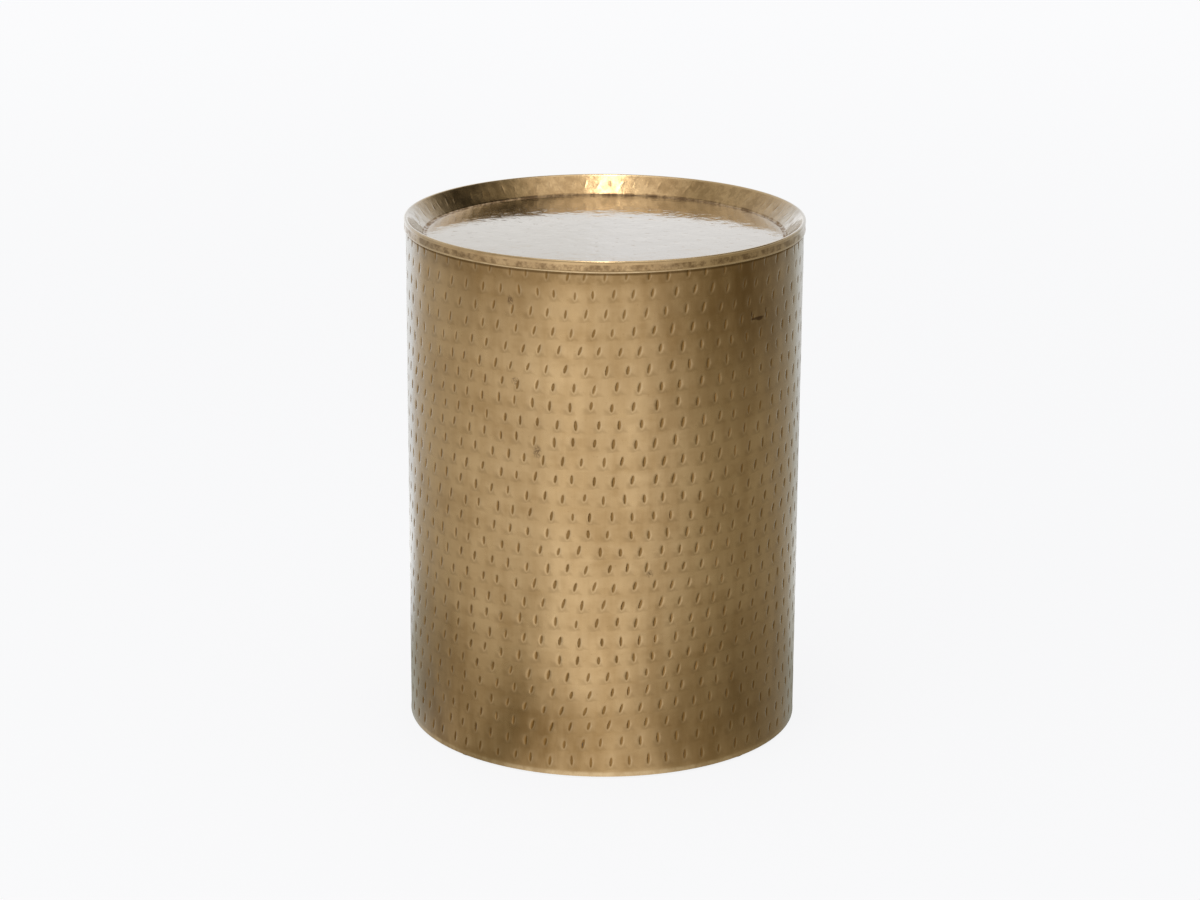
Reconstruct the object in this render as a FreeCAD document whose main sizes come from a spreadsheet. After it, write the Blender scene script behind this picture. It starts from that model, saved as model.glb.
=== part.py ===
"""Drum side table: a storage drum of rolled sheet metal under a spun tray top that lifts off.

Row frame: origin on the floor at the centre of the drum, +Z up, the drum's seam at the back (+Y).
Lengths are in millimetres. Every section is drawn as radius against height and turned about Z.
"""
import FreeCAD, Part
import os
import Sketcher

SIZES = {
    # whole table
    "drum_diameter": 380.0,  # outer face of the drum's wall
    "overall_height": 500.0,  # floor to the crest of the tray's rim
    "floor_gap": 2.0,  # floor to the drum's lower edge, held open by the glides
    # drum wall, one sheet rolled round and butted at the back
    "shell_sheet": 1.0,
    "seam_gap": 0.4,
    "hem_depth": 9.0,  # lower edge turned in and up
    "hem_gap": 0.3,  # between the wall and its turned-in leaf
    "hem_break": 0.5,  # the hem's two lower corners
    # strip behind the seam
    "strip_width": 40.0,
    "strip_sheet": 1.5,
    "strip_end_gap": 2.0,
    # flat-bar hoop that keeps the mouth round
    "hoop_width": 20.0,
    "hoop_thickness": 3.0,
    "hoop_drop": 10.0,  # below the wall's upper edge
    # rolled-angle ring that carries the base panel and the glides
    "angle_leg": 25.0,
    "angle_thickness": 3.0,
    "angle_root_fillet": 3.0,  # drawn as a flat at 45 degrees
    "ring_gap": 0.5,  # above the hem
    "weld_gap": 0.2,  # between the wall and what is welded inside it
    # base panel
    "panel_thickness": 9.0,
    "panel_clearance": 0.5,  # beside the root of the angle
    "panel_edge_break": 1.0,
    # screws, and the glides that share their circle
    "fixing_count": 4,  # glides, and as many panel screws midway between them
    "screw_diameter": 4.0,
    "screw_head_diameter": 8.0,
    "screw_head_height": 2.4,
    "screw_cover": 2.5,  # panel left above the screw's end
    "screw_hole_clearance": 0.25,
    "pilot_clearance": 0.05,
    "glide_diameter": 20.0,
    "glide_inset": 1.2,  # inside the hem
    "glide_head_recess": 1.6,  # screw head above the foot's face
    "glide_head_clearance": 0.75,
    # tray top, spun from one disc
    "tray_sheet": 1.0,
    "tray_depth": 17.5,  # crest to the upper face of the floor
    "tray_wall_slope": 48.0,  # degrees above the floor
    "tray_cove_radius": 2.5,
    "crest_width": 2.9,  # skirt's outer face to where the wall starts down
    "crest_break": 1.2,  # outer corner of the crest, drawn as a flat at 45 degrees
    "fold_break": 0.6,  # the same corner inside the fold
    "skirt_depth": 11.0,  # crest to the skirt's lower edge
    "skirt_clearance": 0.4,  # between skirt and drum
    "seat_drop": 0.6,  # drum's edge below the ledge inside the fold
    # board under the tray's floor
    "backing_thickness": 6.0,
    "backing_margin": 8.0,  # inside the edge of the floor
    "backing_edge_break": 1.0,
}

# Radii and heights that several pieces share, as expressions on the sheet.
WALL_OUTER = "(Sizes.drum_diameter / 2)"
WALL_INNER = f"({WALL_OUTER} - Sizes.shell_sheet)"
WALL_TOP = "(Sizes.overall_height - Sizes.tray_sheet - Sizes.seat_drop)"
WALL_FOOT = "Sizes.floor_gap"
LEAF_OUTER = f"({WALL_INNER} - Sizes.hem_gap)"
LEAF_INNER = f"({LEAF_OUTER} - Sizes.shell_sheet)"
LEAF_TOP = f"({WALL_FOOT} + Sizes.hem_depth)"

WELD_RADIUS = f"({WALL_INNER} - Sizes.weld_gap)"
HOOP_TOP = f"({WALL_TOP} - Sizes.hoop_drop)"
HOOP_FOOT = f"({HOOP_TOP} - Sizes.hoop_width)"
RING_FOOT = f"({LEAF_TOP} + Sizes.ring_gap)"
RING_LEDGE = f"({RING_FOOT} + Sizes.angle_thickness)"
RING_TOP = f"({RING_FOOT} + Sizes.angle_leg)"
RING_BORE = f"({WELD_RADIUS} - Sizes.angle_thickness)"
PANEL_TOP = f"({RING_LEDGE} + Sizes.panel_thickness)"
PANEL_RADIUS = f"({RING_BORE} - Sizes.angle_root_fillet - Sizes.panel_clearance)"

FIXING_CIRCLE = f"({LEAF_INNER} - Sizes.glide_inset - Sizes.glide_diameter / 2)"
SCREW_RADIUS = "(Sizes.screw_diameter / 2)"
SCREW_TIP = f"({PANEL_TOP} - Sizes.screw_cover)"
SCREW_HOLE = f"({SCREW_RADIUS} + Sizes.screw_hole_clearance)"
SCREW_PILOT = f"({SCREW_RADIUS} + Sizes.pilot_clearance)"
HEAD_RADIUS = "(Sizes.screw_head_diameter / 2)"
GLIDE_SEAT = "(Sizes.glide_head_recess + Sizes.screw_head_height)"

SKIRT_INNER = f"({WALL_OUTER} + Sizes.skirt_clearance)"
SKIRT_OUTER = f"({SKIRT_INNER} + Sizes.tray_sheet)"
SKIRT_FOOT = "(Sizes.overall_height - Sizes.skirt_depth)"
CREST_INNER = f"({SKIRT_OUTER} - Sizes.crest_width)"
FLOOR_TOP = "(Sizes.overall_height - Sizes.tray_depth)"
FLOOR_FOOT = f"({FLOOR_TOP} - Sizes.tray_sheet)"
FLOOR_RADIUS = f"({CREST_INNER} - Sizes.tray_depth / tan(Sizes.tray_wall_slope))"
BEND_SHIFT = "Sizes.tray_sheet * tan(Sizes.tray_wall_slope / 2)"  # upper to lower face's bends
FOLD_TOP = "(Sizes.overall_height - Sizes.tray_sheet)"
BACKING_RADIUS = f"({FLOOR_RADIUS} - Sizes.backing_margin)"
BACKING_FOOT = f"({FLOOR_FOOT} - Sizes.backing_thickness)"

BACK = 90.0  # degrees from +X to the back of the drum


def add_sizes(document):
    """Write each size to a cell of its own and name the cell after it."""
    sheet = document.addObject("Spreadsheet::Sheet", "Sizes")
    for row, (name, number) in enumerate(SIZES.items(), start=1):
        sheet.set(f"A{row}", name)
        sheet.set(f"B{row}", str(number))
        sheet.setAlias(f"B{row}", name)
    document.recompute()


def measure(item, expression):
    """Value of an expression on the sheet, as a plain number."""
    result = item.evalExpression(expression)
    return float(getattr(result, "Value", result))


def add_body(document, name, turn="0"):
    """Make an empty body, turned about Z by an expression in degrees."""
    body = document.addObject("PartDesign::Body", name)
    body.Label = name
    angle = measure(body, turn)
    body.Placement = FreeCAD.Placement(
        FreeCAD.Vector(0, 0, 0), FreeCAD.Rotation(FreeCAD.Vector(0, 0, 1), angle)
    )
    if angle:
        body.setExpression("Placement.Rotation.Angle", turn)
    return body


def add_sketch(body, name):
    """Attach an empty sketch to the body's own XZ plane: radius across, height up."""
    plane = next(item for item in body.Origin.OriginFeatures if item.Role == "XZ_Plane")
    sketch = body.newObject("Sketcher::SketchObject", name)
    sketch.AttachmentSupport = [(plane, "")]
    sketch.MapMode = "FlatFace"
    return sketch


def place_point(sketch, geometry, point, across, up):
    """Hold a point at two expressions from the sketch's origin; "0" puts it on the axis."""
    for kind, expression, axis in (("DistanceX", across, -2), ("DistanceY", up, -1)):
        if expression == "0":
            sketch.addConstraint(Sketcher.Constraint("PointOnObject", geometry, point, axis))
            continue
        distance = measure(sketch, expression)
        index = sketch.addConstraint(Sketcher.Constraint(kind, -1, 1, geometry, point, distance))
        sketch.setExpression(f"Constraints[{index}]", expression)


def round_corner(before, corner, after, radius):
    """Centre of the arc that rounds a corner, and where it meets the lines on either side."""
    inward = (before - corner).normalize()
    outward = (after - corner).normalize()
    bisector = (inward + outward).normalize()
    sine = abs(bisector.cross(inward).z)
    reach = radius * bisector.dot(inward) / sine
    return corner + bisector * (radius / sine), corner + inward * reach, corner + outward * reach


def draw_arc(sketch, centre, start, end, radius):
    """Draw the short arc between two points; returns its id and which of its ends is start."""
    circle = Part.Circle(centre, FreeCAD.Vector(0, 0, 1), radius)
    anticlockwise = (start - centre).cross(end - centre).z > 0
    first, last = (start, end) if anticlockwise else (end, start)
    arc = Part.ArcOfCircle(circle, circle.parameter(first), circle.parameter(last))
    return sketch.addGeometry(arc, False), 1 if anticlockwise else 2


def draw_outline(sketch, corners):
    """Draw a closed outline through corners, each (across, up) or (across, up, radius)."""
    count = len(corners)
    points = [
        FreeCAD.Vector(measure(sketch, across), measure(sketch, up), 0)
        for across, up, *_ in corners
    ]
    rounds = {
        index: round_corner(
            points[index - 1],
            points[index],
            points[(index + 1) % count],
            measure(sketch, corners[index][2]),
        )
        for index in range(count)
        if len(corners[index]) == 3
    }
    lines = []
    for index in range(count):
        following = (index + 1) % count
        start = rounds[index][2] if index in rounds else points[index]
        end = rounds[following][1] if following in rounds else points[following]
        lines.append(sketch.addGeometry(Part.LineSegment(start, end), False))
    for index, (across, up, *radius) in enumerate(corners):
        line_in, line_out = lines[index - 1], lines[index]
        if not radius:
            sketch.addConstraint(Sketcher.Constraint("Coincident", line_in, 2, line_out, 1))
            place_point(sketch, line_out, 1, across, up)
            continue
        length = measure(sketch, radius[0])
        arc, first = draw_arc(sketch, *rounds[index], length)
        apex = sketch.addGeometry(Part.Point(points[index]), True)
        place_point(sketch, apex, 1, across, up)
        sketch.addConstraint(
            [
                Sketcher.Constraint("PointOnObject", apex, 1, line_in),
                Sketcher.Constraint("PointOnObject", apex, 1, line_out),
                Sketcher.Constraint("Tangent", line_in, 2, arc, first),
                Sketcher.Constraint("Tangent", line_out, 1, arc, 3 - first),
            ]
        )
        size = sketch.addConstraint(Sketcher.Constraint("Radius", arc, length))
        sketch.setExpression(f"Constraints[{size}]", radius[0])


def draw_upright(sketch, across):
    """Draw the centre line of a small piece or hole that stands off Z, from the floor up."""
    ends = [FreeCAD.Vector(measure(sketch, across), measure(sketch, up), 0) for up in ("0", RING_FOOT)]
    line = sketch.addGeometry(Part.LineSegment(*ends), True)
    place_point(sketch, line, 1, across, "0")
    place_point(sketch, line, 2, across, RING_FOOT)


def turn_section(body, kind, corners, angle="360", about=None):
    """Revolve or groove an outline about Z, or about an upright at the radius given."""
    number = len(body.Group)
    sketch = add_sketch(body, f"{body.Name}_section_{number}")
    draw_outline(sketch, corners)
    if about:
        draw_upright(sketch, about)
    feature = body.newObject(f"PartDesign::{kind}", f"{body.Name}_{kind.lower()}_{number}")
    feature.Profile = sketch
    feature.ReferenceAxis = (sketch, ["Axis0" if about else "V_Axis"])
    feature.Midplane = True
    feature.setExpression("Angle", angle)
    return feature


def repeat_round(body, feature, occurrences):
    """Repeat a feature of the body evenly round Z."""
    pattern = body.newObject("PartDesign::PolarPattern", f"{feature.Name}_round")
    pattern.Originals = [feature]
    pattern.Axis = (feature.Profile[0], ["V_Axis"])
    pattern.Angle = 360
    pattern.setExpression("Occurrences", occurrences)
    body.Tip = pattern


def drill_fixings(body, foot, top, radius):
    """Cut the round holes of all glide screws and panel screws, between two heights."""
    edge = f"({FIXING_CIRCLE} + {radius})"
    section = [(FIXING_CIRCLE, foot), (edge, foot), (edge, top), (FIXING_CIRCLE, top)]
    hole = turn_section(body, "Groove", section, about=FIXING_CIRCLE)
    repeat_round(body, hole, "2 * Sizes.fixing_count")


def add_drum_shell(document):
    """Rolled wall, open at the seam by a slit, with its lower edge turned in as a hem."""
    body = add_body(document, "drum_shell", f"{BACK} - 180")
    section = [
        (WALL_OUTER, WALL_TOP),
        (WALL_OUTER, f"({WALL_FOOT} + Sizes.hem_break)"),
        (f"({WALL_OUTER} - Sizes.hem_break)", WALL_FOOT),
        (f"({LEAF_INNER} + Sizes.hem_break)", WALL_FOOT),
        (LEAF_INNER, f"({WALL_FOOT} + Sizes.hem_break)"),
        (LEAF_INNER, LEAF_TOP),
        (LEAF_OUTER, LEAF_TOP),
        (LEAF_OUTER, f"({WALL_FOOT} + Sizes.shell_sheet)"),
        (WALL_INNER, f"({WALL_FOOT} + Sizes.shell_sheet)"),
        (WALL_INNER, WALL_TOP),
    ]
    turn_section(body, "Revolution", section, angle=f"360 - Sizes.seam_gap / {WALL_OUTER} * 180 / pi")


def add_seam_strip(document):
    """Curved strip that backs the seam between the base ring and the hoop."""
    body = add_body(document, "seam_strip", f"{BACK}")
    foot = f"({RING_TOP} + Sizes.strip_end_gap)"
    top = f"({HOOP_FOOT} - Sizes.strip_end_gap)"
    inner = f"({WELD_RADIUS} - Sizes.strip_sheet)"
    section = [(inner, foot), (WELD_RADIUS, foot), (WELD_RADIUS, top), (inner, top)]
    turn_section(body, "Revolution", section, angle=f"Sizes.strip_width / {WELD_RADIUS} * 180 / pi")


def add_top_hoop(document):
    """Flat-bar hoop welded inside the mouth, below the tray's sloping wall."""
    body = add_body(document, "top_hoop")
    inner = f"({WELD_RADIUS} - Sizes.hoop_thickness)"
    section = [
        (inner, HOOP_FOOT),
        (WELD_RADIUS, HOOP_FOOT),
        (WELD_RADIUS, HOOP_TOP),
        (inner, HOOP_TOP),
    ]
    turn_section(body, "Revolution", section)


def add_base_ring(document):
    """Rolled angle above the hem: one leg welded to the wall, one a ledge with the holes."""
    body = add_body(document, "base_ring")
    ledge_inner = f"({WELD_RADIUS} - Sizes.angle_leg)"
    section = [
        (ledge_inner, RING_FOOT),
        (WELD_RADIUS, RING_FOOT),
        (WELD_RADIUS, RING_TOP),
        (RING_BORE, RING_TOP),
        (RING_BORE, f"({RING_LEDGE} + Sizes.angle_root_fillet)"),
        (f"({RING_BORE} - Sizes.angle_root_fillet)", RING_LEDGE),
        (ledge_inner, RING_LEDGE),
    ]
    turn_section(body, "Revolution", section)
    drill_fixings(body, RING_FOOT, RING_LEDGE, SCREW_HOLE)


def add_base_panel(document):
    """Round board that lies on the ledge, with blind pilot holes from below."""
    body = add_body(document, "base_panel")
    section = [
        ("0", RING_LEDGE),
        (PANEL_RADIUS, RING_LEDGE),
        (PANEL_RADIUS, f"({PANEL_TOP} - Sizes.panel_edge_break)"),
        (f"({PANEL_RADIUS} - Sizes.panel_edge_break)", PANEL_TOP),
        ("0", PANEL_TOP),
    ]
    turn_section(body, "Revolution", section)
    drill_fixings(body, RING_LEDGE, SCREW_TIP, SCREW_PILOT)


def add_screws(document, name, head_seat, turn="0"):
    """Screws round the fixing circle, with their heads' seats at one height."""
    body = add_body(document, name, turn)
    shank = f"({FIXING_CIRCLE} + {SCREW_RADIUS})"
    head = f"({FIXING_CIRCLE} + {HEAD_RADIUS})"
    head_foot = f"({head_seat} - Sizes.screw_head_height)"
    section = [
        (FIXING_CIRCLE, head_foot),
        (head, head_foot),
        (head, head_seat),
        (shank, head_seat),
        (shank, SCREW_TIP),
        (FIXING_CIRCLE, SCREW_TIP),
    ]
    screw = turn_section(body, "Revolution", section, about=FIXING_CIRCLE)
    repeat_round(body, screw, "Sizes.fixing_count")


def add_glide(document, number):
    """Round foot under the ledge, with a recess that keeps its screw's head off the floor."""
    body = add_body(document, f"glide_{number}", f"({number} - 0.5) * 360 / Sizes.fixing_count")
    hole = f"({FIXING_CIRCLE} + {SCREW_HOLE})"
    recess = f"({FIXING_CIRCLE} + {HEAD_RADIUS} + Sizes.glide_head_clearance)"
    top_edge = f"({FIXING_CIRCLE} + Sizes.glide_diameter / 2)"
    section = [
        (recess, "0"),
        (top_edge, "0"),
        (top_edge, RING_FOOT),
        (hole, RING_FOOT),
        (hole, GLIDE_SEAT),
        (recess, GLIDE_SEAT),
    ]
    turn_section(body, "Revolution", section, about=FIXING_CIRCLE)


def add_tray_top(document):
    """Spun tray: floor, cove, sloping wall, crest folded over the drum's edge, and skirt."""
    body = add_body(document, "tray_top")
    section = [
        ("0", FLOOR_FOOT),
        (f"({FLOOR_RADIUS} + {BEND_SHIFT})", FLOOR_FOOT),
        (f"({CREST_INNER} + {BEND_SHIFT})", FOLD_TOP),
        (f"({SKIRT_INNER} - Sizes.fold_break)", FOLD_TOP),
        (SKIRT_INNER, f"({FOLD_TOP} - Sizes.fold_break)"),
        (SKIRT_INNER, SKIRT_FOOT),
        (SKIRT_OUTER, SKIRT_FOOT),
        (SKIRT_OUTER, "(Sizes.overall_height - Sizes.crest_break)"),
        (f"({SKIRT_OUTER} - Sizes.crest_break)", "Sizes.overall_height"),
        (CREST_INNER, "Sizes.overall_height"),
        (FLOOR_RADIUS, FLOOR_TOP, "Sizes.tray_cove_radius"),
        ("0", FLOOR_TOP),
    ]
    turn_section(body, "Revolution", section)


def add_tray_backing(document):
    """Round board glued under the tray's floor to keep the thin sheet flat."""
    body = add_body(document, "tray_backing")
    section = [
        ("0", BACKING_FOOT),
        (f"({BACKING_RADIUS} - Sizes.backing_edge_break)", BACKING_FOOT),
        (BACKING_RADIUS, f"({BACKING_FOOT} + Sizes.backing_edge_break)"),
        (BACKING_RADIUS, FLOOR_FOOT),
        ("0", FLOOR_FOOT),
    ]
    turn_section(body, "Revolution", section)


def check_document(document):
    """Stop unless every object is computed and every body holds valid solids."""
    for item in document.Objects:
        if "Invalid" in item.State or "Error" in item.State:
            raise RuntimeError(f"{item.Label} failed: {item.State}")
        if item.TypeId == "Sketcher::SketchObject" and not item.FullyConstrained:
            raise RuntimeError(f"{item.Label} is not fully constrained")
    for body in document.findObjects("PartDesign::Body"):
        shape = body.Shape
        if shape.isNull() or not shape.isValid() or not shape.Solids:
            raise RuntimeError(f"{body.Label} has no valid solid")


def main():
    """Build the table and write one file for each of its nodes."""
    document = FreeCAD.newDocument("drum_side_table")
    add_sizes(document)
    add_drum_shell(document)
    add_seam_strip(document)
    add_top_hoop(document)
    add_base_ring(document)
    add_base_panel(document)
    add_screws(document, "panel_screws", RING_FOOT)
    add_screws(document, "glide_screws", GLIDE_SEAT, turn="180 / Sizes.fixing_count")
    for number in range(1, SIZES["fixing_count"] + 1):
        add_glide(document, number)
    add_tray_top(document)
    add_tray_backing(document)
    document.recompute()
    check_document(document)
    os.makedirs("parts", exist_ok=True)
    for body in document.findObjects("PartDesign::Body"):
        body.Shape.exportStep(f"parts/{body.Label}.step")
        print(f"{body.Label}: {len(body.Shape.Solids)} solids, {body.Shape.Volume:.0f} mm3")


main()
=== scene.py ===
"""Looks of a drum side table: a hammered brass drum under a spun brass tray.

Lengths are in metres in the part's own frame: the floor is z = 0, the drum's seam is at +Y and the
camera stands at -Y.
"""

import logging
import math
from contextlib import contextmanager
from dataclasses import dataclass, replace
from enum import Enum
from typing import Callable, Iterator, Optional, Sequence, Union

import bmesh
import bpy
import numpy as np
from mathutils import Matrix, Vector


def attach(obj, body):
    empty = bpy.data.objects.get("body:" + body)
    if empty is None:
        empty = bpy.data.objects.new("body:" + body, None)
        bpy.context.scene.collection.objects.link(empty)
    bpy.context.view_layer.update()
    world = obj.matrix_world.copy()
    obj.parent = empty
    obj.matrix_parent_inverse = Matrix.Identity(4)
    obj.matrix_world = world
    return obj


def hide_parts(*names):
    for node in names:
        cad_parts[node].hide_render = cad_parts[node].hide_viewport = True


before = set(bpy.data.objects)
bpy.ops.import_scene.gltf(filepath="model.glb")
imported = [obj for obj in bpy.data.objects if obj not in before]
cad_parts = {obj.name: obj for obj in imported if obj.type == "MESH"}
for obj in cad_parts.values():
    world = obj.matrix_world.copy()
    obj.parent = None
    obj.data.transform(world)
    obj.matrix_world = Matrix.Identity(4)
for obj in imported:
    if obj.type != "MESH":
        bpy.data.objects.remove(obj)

log = logging.getLogger("drum_side_table")

MM = 0.001
WELD = 0.01 * MM  # points that are closer than this are one
BESIDE = 0.05 * MM  # how far a point may lie from its nominal place
SAME = 0.01  # shares of a hammer mark that differ by less than this are one
Colour = tuple[float, float, float]
Point = tuple[float, float, float]
Pair = tuple[float, float]
Socket = bpy.types.NodeSocket
Input = Union[float, Sequence[float], Socket]
DENT = "dent"  # mesh attribute: 0 on the open sheet, 1 at the bottom of a hammer mark
LIT_LIP = "burr"  # mesh attribute: 1 on the lip that a hammer mark throws up at its right, which gets a painted highlight
SHADE_BELOW = "smudge"  # mesh attribute: 1 below a hammer mark, where the colour gets painted shade


class Slot(Enum):
    """Material slots of the part's record."""

    BRASS = "hammered_brass"
    STEEL = "black_steel"
    BOARD = "black_board"
    ZINC = "zinc_screw"
    PLASTIC = "foot_plastic"


class Body(Enum):
    """Bodies that pieces ride on."""

    DRUM = "drum"
    TRAY = "tray"


# ---------------------------------------------------------------- modelling


class Workpiece:
    """One mesh object on the bench, shaped with Blender's own tools."""

    def __init__(self, item: bpy.types.Object) -> None:
        """Take hold of a mesh object.

        Args:
            item: The object to work on.
        """
        self.item = item

    def pick(self) -> None:
        """Make this the only selected object, and the active one."""
        bpy.ops.object.select_all(action="DESELECT")
        self.item.select_set(True)
        bpy.context.view_layer.objects.active = self.item

    @contextmanager
    def editing(self, kind: str = "VERT") -> Iterator[None]:
        """Hold the piece in edit mode, with nothing selected at the start.

        Args:
            kind: What is selected there: VERT, EDGE or FACE.
        """
        self.pick()
        bpy.ops.object.mode_set(mode="EDIT")
        bpy.ops.mesh.select_mode(type=kind)
        bpy.ops.mesh.select_all(action="DESELECT")
        try:
            yield
        finally:
            bpy.ops.object.mode_set(mode="OBJECT")

    def select(self, test: Callable[[Vector], bool]) -> None:
        """Select the points that pass a test, in edit mode, and nothing else.

        Args:
            test: Tells whether a point at this place belongs to the selection.
        """
        mesh = bmesh.from_edit_mesh(self.item.data)
        for vertex in mesh.verts:
            vertex.select_set(test(vertex.co))
        mesh.select_flush(False)
        bmesh.update_edit_mesh(self.item.data)

    def select_border(self, test: Callable[[Vector], bool]) -> None:
        """Select the edges with one face whose two ends pass a test, in edit mode, and nothing else.

        Args:
            test: Tells whether a point at this place belongs to the selection.
        """
        bpy.ops.mesh.select_all(action="DESELECT")
        mesh = bmesh.from_edit_mesh(self.item.data)
        for edge in mesh.edges:
            if edge.is_boundary and all(test(vertex.co) for vertex in edge.verts):
                edge.select_set(True)
        mesh.select_flush_mode()
        bmesh.update_edit_mesh(self.item.data)

    def copies(self, count: int, step: Point) -> None:
        """Lay out copies of the mesh in a row and weld them where they meet.

        Args:
            count: Copies in all, with the first.
            step: From each copy to the next.
        """
        self.pick()
        row = self.item.modifiers.new("row", "ARRAY")
        row.count = count
        row.use_relative_offset = False
        row.use_constant_offset = True
        row.constant_offset_displace = step
        row.use_merge_vertices = True
        row.merge_threshold = WELD
        bpy.ops.object.modifier_apply(modifier=row.name)

    def shift(self, move: Point) -> None:
        """Move the whole mesh, in edit mode.

        Args:
            move: How far, along each axis.
        """
        with self.editing():
            bpy.ops.mesh.select_all(action="SELECT")
            bpy.ops.transform.translate(value=move)

    def trim(self, at: float, keep_above: bool) -> None:
        """Cut the mesh off square across X.

        Args:
            at: Where the cut goes.
            keep_above: Keep the side with the larger X.
        """
        with self.editing():
            bpy.ops.mesh.select_all(action="SELECT")
            bpy.ops.mesh.bisect(
                plane_co=(at, 0, 0),
                plane_no=(1, 0, 0),
                clear_inner=keep_above,
                clear_outer=not keep_above,
            )

    def join(self, others: Sequence["Workpiece"]) -> None:
        """Join other pieces into this one and weld what meets.

        Args:
            others: The pieces that end up in this one.
        """
        self.pick()
        for other in others:
            other.item.select_set(True)
        bpy.ops.object.join()
        self.weld()

    def weld(self, reach: float = WELD) -> None:
        """Weld all points that are close together.

        Args:
            reach: Largest distance between two points that are one.
        """
        with self.editing():
            bpy.ops.mesh.select_all(action="SELECT")
            bpy.ops.mesh.remove_doubles(threshold=reach)

    def resize(self, across: float, along: float, about: Point = (0, 0, 0)) -> None:
        """Scale the selection in X and Y, in edit mode.

        Args:
            across: Scale in X.
            along: Scale in Y.
            about: Point that stays.
        """
        bpy.ops.transform.resize(value=(across, along, 1), center_override=about)

    def extrude(self, move: Point) -> None:
        """Extrude the selected edges, in edit mode.

        Args:
            move: How far, along each axis.
        """
        bpy.ops.mesh.extrude_edges_move(TRANSFORM_OT_translate={"value": move})

    def copy(self, name: str) -> "Workpiece":
        """Another piece with its own copy of the mesh.

        Args:
            name: Name of the new object.

        Returns:
            The new piece.
        """
        twin = self.item.copy()
        twin.data = self.item.data.copy()
        twin.name = name
        bpy.context.scene.collection.objects.link(twin)
        return Workpiece(twin)

    def places(self) -> np.ndarray:
        """Read every vertex's place.

        Returns:
            One row for each vertex.
        """
        flat = np.empty(len(self.item.data.vertices) * 3)
        self.item.data.vertices.foreach_get("co", flat)
        return flat.reshape(-1, 3)

    def set_places(self, places: np.ndarray) -> None:
        """Put every vertex in its place, one row each."""
        self.item.data.vertices.foreach_set("co", places.ravel())
        self.item.data.update()

    def dents(self) -> np.ndarray:
        """Read every vertex's share of a hammer mark.

        Returns:
            Shares from 0 to 1.
        """
        values = np.zeros(len(self.item.data.vertices))
        self.item.data.attributes[DENT].data.foreach_get("value", values)
        return values

    def set_dents(self, values: np.ndarray) -> None:
        """Store every vertex's share of a hammer mark."""
        self.item.data.attributes[DENT].data.foreach_set("value", values)

    def wipe(self, where: np.ndarray) -> None:
        """Take the traces of hammer marks off some of the vertices.

        Args:
            where: True for each vertex that is wiped.
        """
        for name in (DENT, LIT_LIP, SHADE_BELOW):
            values = np.zeros(len(where))
            layer = self.item.data.attributes[name].data
            layer.foreach_get("value", values)
            layer.foreach_set("value", np.where(where, 0.0, values))

    def shade(self, angle: float = 40.0) -> None:
        """Shade smooth, but for edges sharper than an angle in degrees."""
        self.pick()
        bpy.ops.object.shade_smooth_by_angle(angle=math.radians(angle))

    def finish(self, name: str, material: bpy.types.Material, body: Body, slot: Slot) -> None:
        """Name the piece, dress it and let it ride on its body.

        Args:
            name: Final name of the object.
            material: Its only material.
            body: Body that carries it.
            slot: Slot of the record that it stands for; not used.
        """
        self.item.name = name
        self.item.data.name = name
        self.item.data.materials.clear()
        self.item.data.materials.append(material)
        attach(self.item, body.value)
        log.info("%s: %d faces", name, len(self.item.data.polygons))


@dataclass(frozen=True)
class Ring:
    """One oval ring of a hammer mark."""

    share: float  # how far into the mark it lies
    width: float
    length: float
    depth: float  # below the open sheet
    aside: float = 0.0  # how far its middle lies to the right


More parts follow.
